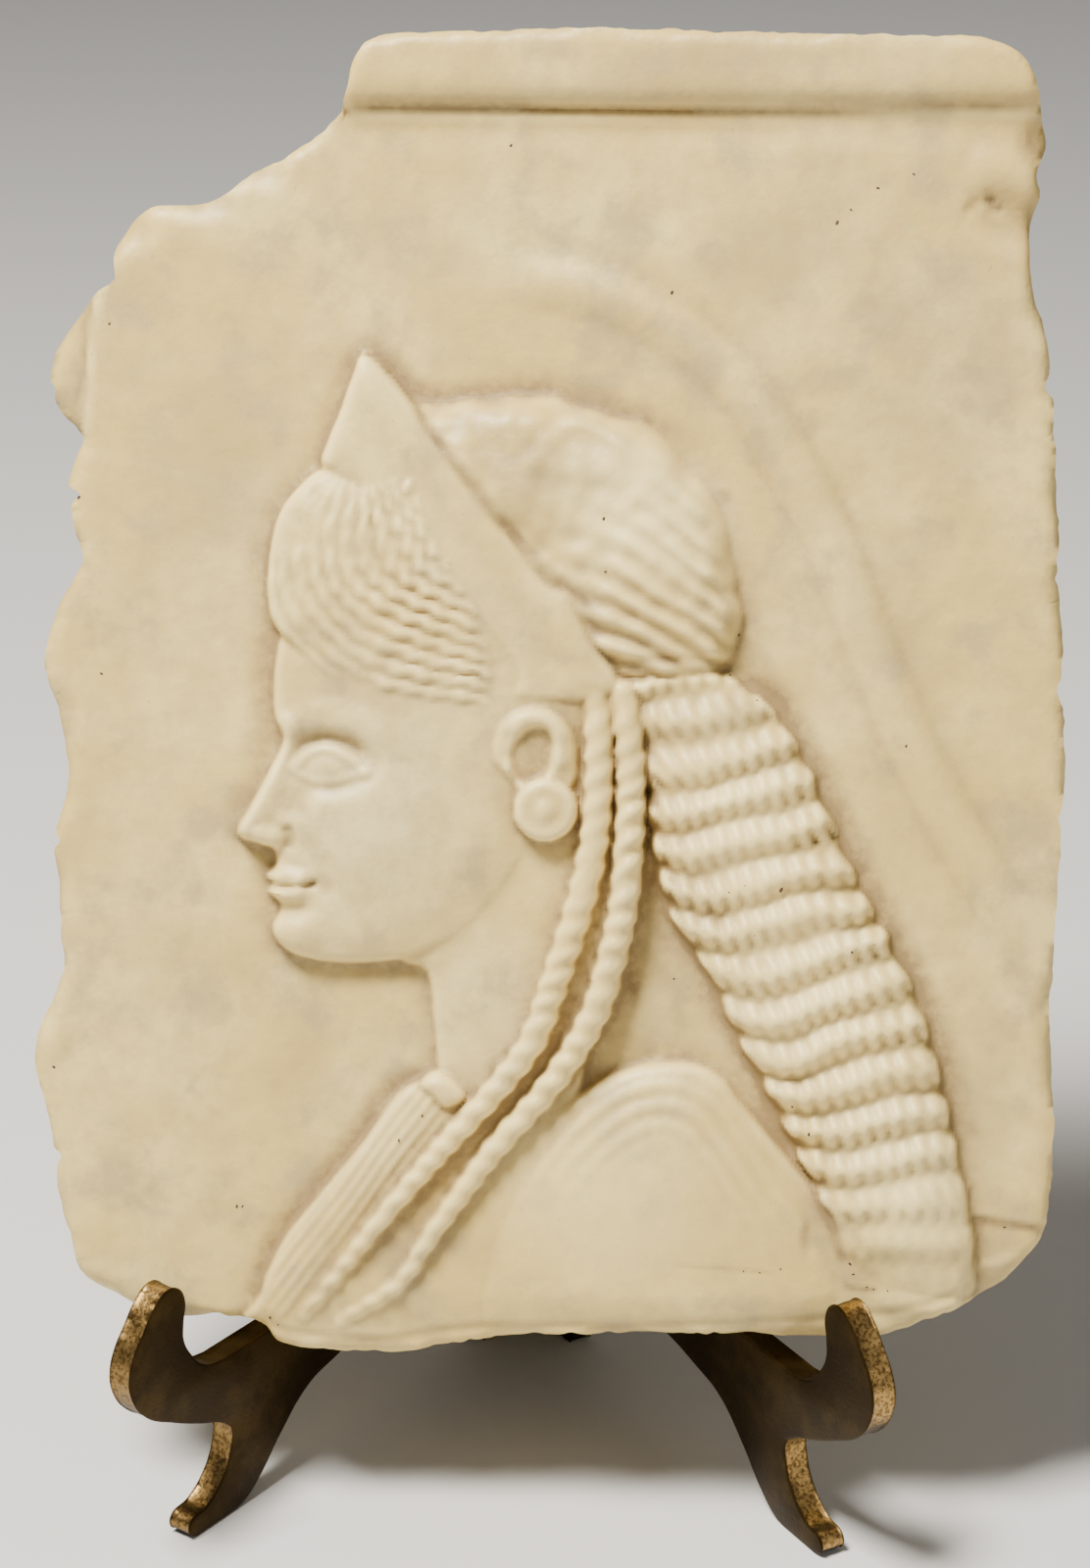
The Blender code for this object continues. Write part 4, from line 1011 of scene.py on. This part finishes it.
def net_value(form, places):
    """The form's value at any places, read between the net's points."""
    column = (places[:, 0] - S[0, 0]) / NET
    row = (places[:, 1] - T[0, 0]) / NET
    left = np.clip(column.astype(int), 0, S.shape[1] - 2)
    low = np.clip(row.astype(int), 0, S.shape[0] - 2)
    x, y = column - left, row - low
    bottom = form[low, left] * (1 - x) + form[low, left + 1] * x
    top = form[low + 1, left] * (1 - x) + form[low + 1, left + 1] * x
    return bottom * (1 - y) + top * y


def mesh_lines(low, high, fine_low, fine_high, fine, plain):
    """Mesh positions that are close together over the carving and wider apart beside it."""
    places = [low]
    while places[-1] < high:
        places.append(places[-1] + (fine if fine_low < places[-1] < fine_high else plain))
    return np.array(places)


def ordered_rim(mesh):
    """The open edge of the mesh as one loop of vertices."""
    first = next(edge for edge in mesh.edges if edge.is_boundary)
    loop = [first.verts[0], first.verts[1]]
    last = first
    while True:
        last = next(e for e in loop[-1].link_edges if e.is_boundary and e is not last)
        vertex = last.other_vert(loop[-1])
        if vertex is loop[0]:
            return loop
        loop.append(vertex)


def along_outline(places):
    """How far along the outline each place lies."""
    ends = np.roll(OUTLINE, -1, axis=0)
    runs = ends - OUTLINE
    lengths = np.hypot(*runs.T)
    before = np.concatenate([[0.0], np.cumsum(lengths)[:-1]])
    away = places[:, None, :] - OUTLINE[None]
    share = np.clip((away * runs).sum(2) / lengths**2, 0, 1)
    best = (((away - share[..., None] * runs) ** 2).sum(2)).argmin(1)
    return before[best] + share[np.arange(len(places)), best] * lengths[best]


def fit_rim(places):
    """Spreads the loop's places evenly along the outline."""
    ring = np.vstack([OUTLINE, OUTLINE[:1]])
    lengths = np.concatenate([[0.0], np.cumsum(np.hypot(*np.diff(ring, axis=0).T))])
    total = lengths[-1]
    along = np.unwrap(along_outline(places), period=total)
    turns = total * np.sign(along[-1] - along[0])
    for _ in range(30):
        before = np.roll(along, 1)
        after = np.roll(along, -1)
        before[0] -= turns
        after[-1] += turns
        along = 0.5 * along + 0.25 * (before + after)
    along = np.mod(along, total)
    return np.column_stack([np.interp(along, lengths, ring[:, k]) for k in (0, 1)])


def settle(places, edges, fixed, heights, rounds):
    """Draws the mesh together where the surface is steep, so that walls get enough faces."""
    first, second = edges.T
    for _ in range(rounds):
        rise = heights(places)
        run = places[first] - places[second]
        weight = np.sqrt((run**2).sum(1) + (rise[first] - rise[second]) ** 2)
        total = np.bincount(first, weight, len(places)) + np.bincount(second, weight, len(places))
        drawn = np.empty_like(places)
        for k in (0, 1):
            drawn[:, k] = np.bincount(first, weight * places[second, k], len(places))
            drawn[:, k] += np.bincount(second, weight * places[first, k], len(places))
        drawn /= total[:, None]
        places = np.where(fixed[:, None], places, 0.4 * places + 0.6 * drawn)
    return places


s_lines = mesh_lines(-91.5, 91.5, -57, 76, 0.59, 1.5)
t_lines = mesh_lines(-2, 233.5, 1.5, 171, 0.59, 1.4)
mesh = bmesh.new()
bmesh.ops.create_grid(mesh, x_segments=len(s_lines) - 1, y_segments=len(t_lines) - 1, size=1)
unit = np.array([vertex.co[:2] for vertex in mesh.verts])
columns = np.rint((unit[:, 0] + 1) / 2 * (len(s_lines) - 1)).astype(int)
rows = np.rint((unit[:, 1] + 1) / 2 * (len(t_lines) - 1)).astype(int)
places = np.column_stack([s_lines[columns], t_lines[rows]])
cells = np.array([[vertex.index for vertex in face.verts] for face in mesh.faces])
cell_depth = net_value(edge_depth, places[cells].mean(1))
outside = [face for face, inward in zip(mesh.faces, cell_depth) if inward < 0.45]
kept = np.zeros(len(places), bool)
kept[cells[cell_depth >= 0.45].ravel()] = True
places = places[kept]
bmesh.ops.delete(mesh, geom=outside, context="FACES")
mesh.verts.index_update()
mesh.verts.ensure_lookup_table()
loop = ordered_rim(mesh)
loop_index = np.array([vertex.index for vertex in loop])
ring_places = fit_rim(places[loop_index])
tangent = np.roll(ring_places, -1, axis=0) - np.roll(ring_places, 1, axis=0)
tangent /= np.hypot(*tangent.T)[:, None]
following = np.roll(ring_places, -1, axis=0)
area = np.sum(ring_places[:, 0] * following[:, 1] - following[:, 0] * ring_places[:, 1])
inward = np.sign(area) * np.column_stack([-tangent[:, 1], tangent[:, 0]])
for _ in range(6):
    inward = inward + np.roll(inward, 1, axis=0) + np.roll(inward, -1, axis=0)
    inward /= np.hypot(*inward.T)[:, None]


def wandering(count, smoothing):
    """Random values round a loop, smoothed, between 0 and about 1."""
    made = chance.standard_normal(count)
    for _ in range(smoothing):
        made = 0.5 * made + 0.25 * (np.roll(made, 1) + np.roll(made, -1))
    return np.abs(made) / (2 * made.std())


nicks = 0.45 * wandering(len(loop), 30) + 0.3 * wandering(len(loop), 5)
nicks += 0.5 * wandering(len(loop), 9) ** 3 * (1 - 0.85 * step(ring_places[:, 1], 217, 223))
ring_places = ring_places + inward * nicks[:, None]
places[loop_index] = ring_places
fixed = np.zeros(len(places), bool)
fixed[loop_index] = True
edges = np.array([[vertex.index for vertex in edge.verts] for edge in mesh.edges])
places = settle(places, edges, fixed, lambda spots: 0 * spots[:, 0], 8)
places = settle(places, edges, fixed, lambda spots: net_value(height, spots), 12)
for vertex, place, rise in zip(mesh.verts, places, net_value(height, places)):
    vertex.co = (place[0], place[1], rise)

# The slab's broken side goes down from the rounded rim in rings that wander a little, and is cut
# level behind the carving where the slab stands on the easel.
SIDE_RINGS = (
    (0.15, 11.0), (0.2, 8.2), (0.3, 5.4), (0.4, 2.9), (0.7, 0.8 * BACK_ROUND), (2.2, 0.0), (4.0, 0.0),
)
for inset, level in SIDE_RINGS:
    wander = 0.0 if level == 0 else 0.5 * wandering(len(loop), 22) + 0.07 * wandering(len(loop), 5)
    wall = inset + wander - nicks * (1 - step(level, 0, 14))
    spots = ring_places + inward * wall[:, None]
    standing = (ring_places[:, 1] < REST_T + 3) & (np.abs(ring_places[:, 0]) < 78)
    floor_line = np.where(level < 9, REST_T + inset, -9.0)
    spots[:, 1] = np.where(standing, np.maximum(spots[:, 1], floor_line), spots[:, 1])
    pairs = [mesh.edges.get((a, b)) for a, b in zip(loop, loop[1:] + loop[:1])]
    made = bmesh.ops.extrude_edge_only(mesh, edges=pairs)["geom"]
    fresh = {v for v in made if isinstance(v, bmesh.types.BMVert)}
    ring = []
    for vertex, spot in zip(loop, spots):
        copy = next(e.other_vert(vertex) for e in vertex.link_edges if e.other_vert(vertex) in fresh)
        copy.co = (spot[0], spot[1], level)
        ring.append(copy)
    loop = ring
mesh.faces.new(loop)
bmesh.ops.recalc_face_normals(mesh, faces=mesh.faces)
plaque_data = bpy.data.meshes.new("cast_relief_plaque")
mesh.to_mesh(plaque_data)
mesh.free()


# Brown lies in the hollows, partly dirt and partly painted shade: where the surface is lower than its
# surroundings, and along the outlines where the photograph shows brown; the lines in the cove under
# the top band and down the long hair's right side are painted shade. Stains are broad and pale, and
# the skin stays clean.
def dirt_shade_and_highlight_maps():
    """Three maps between 0 and 1: dirt and painted shade in crevices, broad stains, and pale heights that are
    partly worn and partly painted highlight.
    """
    narrow = soften(body, 0.6) - soften(body, 0.12)
    broad = soften(body, 2.4) - soften(body, 0.4)
    # The narrow hollow term is partly dirt and partly painted shade; the broad term is painted shade that darkens
    # whole recesses.
    crevice = 0.65 * (1 - np.exp(-np.clip(narrow, 0, 9) / 0.26))
    crevice += 0.6 * (1 - np.exp(-np.clip(broad, 0, 9) / 0.65))
    drawn = np.zeros(S.shape)
    # Drawn brown lines: mostly dirt along outlines, but the wide line down the long hair's right side and the lines
    # in the cove under the top band are painted shade.
    for points, radius, amount in (
        ([(18, 105), (19.5, 91.5), (22.8, 78), (28, 70), (32.5, 61), (36, 54), (40.4, 45.7), (45, 37)], 1.5, 1.0),
        ([(27, 69), (32.5, 60), (36, 53), (42, 41), (50, 25)], 3.8, 0.42),
        ([(45, 37), (49.3, 28.6), (53.2, 18.4)], 1.4, 0.7),
        ([(-37, 171), (-31, 175.5), (-24, 168.5), (-12, 168.6), (4, 169), (18, 163.5)], 3.2, 0.42),
        ([(-24, 166), (-10.5, 150), (-1, 139), (5, 134.5), (9, 127)], 1.5, 0.8),
        ([(-50, 127), (-49.6, 118), (-51.4, 104)], 3.2, 0.36),
        ([(-18, 49), (-26, 48.5), (-33, 38.6), (-41, 28), (-47, 20), (-50.5, 9)], 3.0, 0.5),
        ([(-17, 46), (-27, 33), (-38, 20)], 2.6, 0.3),
        ([(6.0, 66), (2, 56), (-6, 46), (-20, 29), (-32, 14)], 1.5, 0.35),
        ([(12.8, 121.8), (22, 122.6), (32, 122)], 1.8, 0.5),
        ([(33, 127), (39.5, 117), (45.6, 107.6), (51, 96.6), (57, 84), (65, 69), (70.5, 55), (74.5, 40)], 3.6, 0.5),
        ([(-36, 217.4), (-20, 217.6), (0, 217.8), (40, 218.3), (82, 218.8)], 2.2, 0.38),
        ([(-33, 216.9), (-20, 217.1), (-3, 217.3)], 1.5, 0.5),
        ([(38, 217.4), (60, 217.7), (80, 217.9)], 1.6, 0.3),
        ([(-36, 216.0), (0, 216.4), (40, 216.9), (82, 217.4)], 0.9, 0.5),
        ([(68.3, 198.8), (70.5, 201.4), (73.2, 203.4), (76.0, 200.8)], 1.3, 0.4),
        ([(73.5, 203), (79, 199), (84, 198)], 5.0, 0.25),
        ([(22.5, 18.4), (31, 18), (42.2, 17.2)], 0.8, 0.25),
        ([(53, 17), (54, 14.8), (60, 14.5)], 0.9, 0.8),
        ([(-85.5, 163), (-82, 160), (-80.6, 161)], 1.8, 0.6),
        ([(-79.2, 184), (-79.4, 176), (-80.4, 166)], 2.2, 0.35),
        ([(74.8, 26.7), (80, 25.9), (87.2, 25.4)], 1.0, 0.7),
    ):
        add_ridge(drawn, points, radius, 0.85 * amount, fade=2)
    for place, size, amount in (
        ((29.6, 151.2), (2.2, 2.0), 1.0), ((35, 116), (8, 5), 0.62), ((31, 104), (5, 3), 0.3), ((30, 92), (5, 2.5), 0.3), ((46, 24), (1.4, 4.5), 0.7),
        ((81, 211), (4, 6), 0.5), ((16, 66), (3, 5), 0.35), ((22, 62), (10, 12), 0.3), ((21, 82), (6, 18), 0.3),
        ((-2.2, 106.8), (3.4, 5.0), 0.4),
        ((54.5, 214), (4, 2.4), 0.25), ((45.4, 208.9), (7, 4), 0.2), ((56, 16.5), (3, 4), 0.3),
    ):
        add_mound(drawn, place, size, amount)
    stain = np.zeros(S.shape)
    for place, size, amount, turn in (
        ((-62, 62), (14, 30), 0.75, 12), ((-44, 55), (9, 22), 0.5, 18), ((66, 176), (22, 26), 0.7, 0),
        ((44, 196), (26, 16), 0.6, 20), ((24, 70), (12, 20), 1.0, 0), ((-60, 150), (16, 34), 0.55, -20),
        ((-20, 196), (26, 12), 0.45, 0), ((76, 60), (9, 40), 0.6, 0), ((60, 128), (12, 20), 0.55, 0),
        ((-9, 157), (15, 11), 0.9, -35), ((20, 224), (70, 9), 0.7, 0), ((-74, 178), (12, 18), 0.5, 0),
        ((6, 156), (14, 10), 0.45, 0), ((-24, 30), (14, 22), 0.5, 40), ((64, 40), (16, 30), 0.3, 20),
    ):
        add_mound(stain, place, size, amount, turn)
    # Paler where the surface stands above its surroundings: partly wear, partly painted highlight on raised forms.
    pale = np.clip(-narrow / 0.4, 0, 1)
    # These pale mounds on the crown, the long hair, the shoulder and the fringe are painted highlight, where the
    # light falls on raised forms.
    for place, size, amount, turn in (
        ((17, 148), (21, 15), 1.0, -25), ((33, 98), (13, 24), 0.7, 20), ((47, 68), (15, 26), 0.75, 25),
        ((61, 36), (13, 26), 0.75, 20), ((12, 30), (26, 22), 0.5, 0), ((-18, 142), (22, 9), 0.4, -52),
    ):
        add_mound(pale, place, size, amount, turn)
    crevice *= 1 - 0.6 * step(T, 213, 215) * step(224 - T, 0, 3)
    return np.clip(crevice + drawn, 0, 1.4), np.clip(stain, 0, 1), np.clip(pale, 0, 1)


crevice, stain, pale = dirt_shade_and_highlight_maps()
clean = np.zeros(S.shape)
add_mound(clean, (-30, 98), (24, 32), 1.0)
add_mound(clean, (-10, 62), (14, 20), 0.8)
flat = np.empty(3 * len(plaque_data.vertices))
plaque_data.vertices.foreach_get("co", flat)
s, t, h = flat.reshape(-1, 3).T
in_front = step(h, 2, 12)
for key, form in (("crevice", crevice), ("stain", stain), ("pale", pale), ("clean", np.clip(clean, 0, 1))):
    layer = plaque_data.attributes.new(key, "FLOAT", "POINT")
    values = net_value(form, np.column_stack([s, t])) * in_front
    layer.data.foreach_set("value", values.astype(np.float32))


def cast_marble():
    """Cream resin marble: cloudy ivory, brown dirt and painted shade in the hollows, paler rubbed heights and
    painted highlight.
    """
    material, tree, shader, place, node, blotches, math, blend_colours = material_kit("cast_marble")
    maps = {
        key: node("ShaderNodeAttribute", attribute_name=key).outputs["Fac"]
        for key in ("crevice", "stain", "pale", "clean")
    }
    ivory = blend_colours(blotches(26.0, 0.38, 0.64), (0.72, 0.525, 0.155), (0.84, 0.66, 0.25))
    ivory = blend_colours(math("MULTIPLY", maps["clean"], 0.7), ivory, (0.80, 0.665, 0.335))
    ivory = blend_colours(math("MULTIPLY", blotches(120.0, 0.4, 0.68), 0.4), ivory, (0.60, 0.43, 0.135))
    cloud = math("MULTIPLY", maps["stain"], blotches(48.0, 0.34, 0.62))
    tan = blend_colours(math("MULTIPLY", cloud, 0.95), ivory, (0.42, 0.31, 0.125))
    tan = blend_colours(math("MULTIPLY", blotches(11.0, 0.5, 0.72), 0.35), tan, (0.54, 0.385, 0.130))
    tan = blend_colours(math("MULTIPLY", blotches(70.0, 0.50, 0.68), 0.7), tan, (0.45, 0.345, 0.165))
    tan = blend_colours(math("MULTIPLY", blotches(260.0, 0.44, 0.66), 0.28), tan, (0.55, 0.41, 0.165))
    broken = math("ADD", math("MULTIPLY", blotches(420.0, 0.3, 0.7), 0.4), 0.6)
    # Brown in the hollows: partly dirt, partly painted shade of recesses and of the cove under the top band.
    dirt_and_shade = math("MULTIPLY", maps["crevice"], broken)
    dirt_and_shade = math("MINIMUM", math("MULTIPLY", dirt_and_shade, 1.0), 0.88)
    dirt_and_shade_colour = blend_colours(dirt_and_shade, tan, (0.25, 0.16, 0.062))
    # Paler heights, partly wear and partly painted highlight on the crown, hair, shoulder and fringe.
    worn = blend_colours(math("MULTIPLY", maps["pale"], 0.85), dirt_and_shade_colour, (1.0, 0.81, 0.35))
    specks = math("MULTIPLY", blotches(820.0, 0.70, 0.74), 0.5)
    tree.links.new(blend_colours(specks, worn, (0.30, 0.20, 0.11)), shader.inputs["Base Color"])
    rough = node("ShaderNodeMapRange")
    tree.links.new(dirt_and_shade, rough.inputs["Value"])
    rough.inputs["To Min"].default_value = 0.47
    rough.inputs["To Max"].default_value = 0.72
    tree.links.new(rough.outputs["Result"], shader.inputs["Roughness"])
    shader.inputs["Subsurface Weight"].default_value = 0.12
    shader.inputs["Subsurface Radius"].default_value = (1.0, 0.6, 0.35)
    shader.inputs["Subsurface Scale"].default_value = 0.0025
    shader.inputs["Coat Weight"].default_value = 0.06
    shader.inputs["Coat Roughness"].default_value = 0.3
    grain = node("ShaderNodeTexNoise")
    grain.inputs["Scale"].default_value = 900.0
    grain.inputs["Detail"].default_value = 4.0
    tree.links.new(place, grain.inputs["Vector"])
    bump = node("ShaderNodeBump")
    bump.inputs["Strength"].default_value = 0.3
    bump.inputs["Distance"].default_value = 0.0003
    tree.links.new(grain.outputs["Fac"], bump.inputs["Height"])
    tree.links.new(bump.outputs["Normal"], shader.inputs["Normal"])
    return material


# The casting leans back in the easel, with its lower back edge on the two arms.
t = t - 1.08 * step(t, 223, 231)
x = SLAB_CORNER.x + s * MM
y = SLAB_CORNER.y + (t * sin(LEAN) - h * cos(LEAN)) * MM
z = SLAB_CORNER.z + (t * cos(LEAN) + h * sin(LEAN)) * MM
plaque_data.vertices.foreach_set("co", np.column_stack([x, y, z]).ravel())
plaque_data.update()
mesh = bmesh.new()
mesh.from_mesh(plaque_data)
bmesh.ops.recalc_face_normals(mesh, faces=mesh.faces)
mesh.to_mesh(plaque_data)
mesh.free()
plaque_data.shade_smooth()
plaque_data.set_sharp_from_angle(angle=radians(60))
plaque_data.materials.append(cast_marble())
plaque = bpy.data.objects.new("cast_relief_plaque", plaque_data)
bpy.context.scene.collection.objects.link(plaque)
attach(plaque, "root")
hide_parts("relief_plaque")

# Small dark grains of dirt are caught in the surface here and there, and dark blobs in the small pits
# are painted shade. Each is a tiny flat stone-shaped blob, set where the photograph shows one.
SPECKS = [
    ((20.1, 185.8), 0.42), ((-7.7, 210.4), 0.28), ((-47.0, 6.7), 0.34), ((-45.6, 5.4), 0.22),
    ((40.7, 84.4), 0.48), ((31.9, 83.7), 0.22), ((34.6, 84.9), 0.2), ((53.0, 73.9), 0.28),
    ((9.3, 147.2), 0.34), ((9.8, 138.3), 0.26), ((-85.6, 49.9), 0.3), ((48.0, 198.0), 0.38),
    ((50.3, 200.2), 0.24), ((54.8, 203.9), 0.3), ((60.8, 206.3), 0.24), ((32.6, 127.6), 0.3),
    ((61.7, 109.1), 0.26), ((-53.2, 26.0), 0.3), ((-52.2, 26.0), 0.24), ((54.0, 19.0), 0.3),
    ((54.6, 17.2), 0.24), ((57.0, 15.0), 0.2), ((58.2, 14.6), 0.2), ((35.6, 17.6), 0.2),
    ((38.4, 17.4), 0.2), ((46.4, 42.0), 0.34), ((43.4, 46.6), 0.26), ((-24.6, 39.0), 0.24),
    ((-20.6, 43.4), 0.26), ((-13.0, 47.4), 0.2), ((80.8, 25.4), 0.26), ((22.6, 67.8), 0.2),
    ((-81.6, 149.5), 0.3), ((-77.6, 119.0), 0.28), ((42.0, 18.1), 0.2), ((31.3, 120.6), 0.24),
    ((36.0, 116.6), 0.2), ((-76.4, 179.3), 0.24), ((60.6, 14.4), 0.18),
]


def speck_seeds():
    """One point for each speck, on the surface, with its size as an attribute."""
    data = bpy.data.meshes.new("dirt_and_pit_specks")
    spots = np.array([place for place, _ in SPECKS])
    rises = net_value(height, spots)
    lifted = []
    for (s, t), h in zip(spots, rises):
        lifted.append(
            (
                SLAB_CORNER.x + s * MM,
                SLAB_CORNER.y + (t * sin(LEAN) - h * cos(LEAN)) * MM,
                SLAB_CORNER.z + (t * cos(LEAN) + h * sin(LEAN)) * MM,
            )
        )
    data.from_pydata(lifted, [], [])
    sizes = data.attributes.new("speck_size", "FLOAT", "POINT")
    sizes.data.foreach_set("value", np.array([size for _, size in SPECKS], np.float32) * MM)
    return bpy.data.objects.new("dirt_and_pit_specks", data)


def scatter_specks():
    """A geometry tree that sets a small flat blob on each point, turned at random."""
    tree = bpy.data.node_groups.new("scatter_specks", "GeometryNodeTree")
    tree.is_modifier = True
    tree.interface.new_socket("Geometry", in_out="INPUT", socket_type="NodeSocketGeometry")
    tree.interface.new_socket("Lean", in_out="INPUT", socket_type="NodeSocketFloat")
    tree.interface.new_socket("Seed", in_out="INPUT", socket_type="NodeSocketInt")
    tree.interface.new_socket("Speck_Material", in_out="INPUT", socket_type="NodeSocketMaterial")
    tree.interface.new_socket("Geometry", in_out="OUTPUT", socket_type="NodeSocketGeometry")
    inputs = tree.nodes.new("NodeGroupInput")
    output = tree.nodes.new("NodeGroupOutput")
    grain = tree.nodes.new("GeometryNodeMeshIcoSphere")
    grain.inputs["Radius"].default_value = 1.0
    grain.inputs["Subdivisions"].default_value = 2
    place = tree.nodes.new("GeometryNodeInstanceOnPoints")
    tree.links.new(inputs.outputs["Geometry"], place.inputs["Points"])
    tree.links.new(grain.outputs["Mesh"], place.inputs["Instance"])
    spin = tree.nodes.new("FunctionNodeRandomValue")
    spin.data_type = "FLOAT_VECTOR"
    spin.inputs["Min"].default_value = (0, 0, -3)
    spin.inputs["Max"].default_value = (0, 0, 3)
    tree.links.new(inputs.outputs["Seed"], spin.inputs["Seed"])
    size = tree.nodes.new("GeometryNodeInputNamedAttribute")
    size.data_type = "FLOAT"
    size.inputs["Name"].default_value = "speck_size"
    shape = tree.nodes.new("ShaderNodeVectorMath")
    shape.operation = "SCALE"
    shape.inputs[0].default_value = (1.2, 0.7, 0.3)
    tree.links.new(size.outputs["Attribute"], shape.inputs["Scale"])
    tree.links.new(shape.outputs["Vector"], place.inputs["Scale"])
    upright = tree.nodes.new("ShaderNodeCombineXYZ")
    tree.links.new(inputs.outputs["Lean"], upright.inputs["X"])
    tree.links.new(upright.outputs["Vector"], place.inputs["Rotation"])
    turn = tree.nodes.new("GeometryNodeRotateInstances")
    turn.inputs["Local Space"].default_value = True
    tree.links.new(place.outputs["Instances"], turn.inputs["Instances"])
    tree.links.new(spin.outputs["Value"], turn.inputs["Rotation"])
    realize = tree.nodes.new("GeometryNodeRealizeInstances")
    tree.links.new(turn.outputs["Instances"], realize.inputs["Geometry"])
    coat = tree.nodes.new("GeometryNodeSetMaterial")
    tree.links.new(realize.outputs["Geometry"], coat.inputs["Geometry"])
    tree.links.new(inputs.outputs["Speck_Material"], coat.inputs["Material"])
    tree.links.new(coat.outputs["Geometry"], output.inputs["Geometry"])
    return tree


def dark_dirt_and_pit_shade():
    """Dull brown-black dirt, and painted shade where a speck sits in a pit."""
    material, tree, shader, place, node, blotches, math, blend_colours = material_kit("dark_dirt_and_pit_shade")
    brown = blend_colours(blotches(2500.0, 0.4, 0.6), (0.03, 0.02, 0.012), (0.11, 0.07, 0.035))
    tree.links.new(brown, shader.inputs["Base Color"])
    shader.inputs["Roughness"].default_value = 0.85
    return material


# The dark specks are dirt grains and, in the pits, painted shade.
specks = speck_seeds()
bpy.context.scene.collection.objects.link(specks)
run_tree(specks, scatter_specks(), {"Lean": pi / 2 - LEAN, "Seed": 4, "Speck_Material": dark_dirt_and_pit_shade()})
specks.data.shade_smooth()
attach(specks, "root")

print("plaque triangles", sum(len(p.vertices) - 2 for p in plaque_data.polygons))
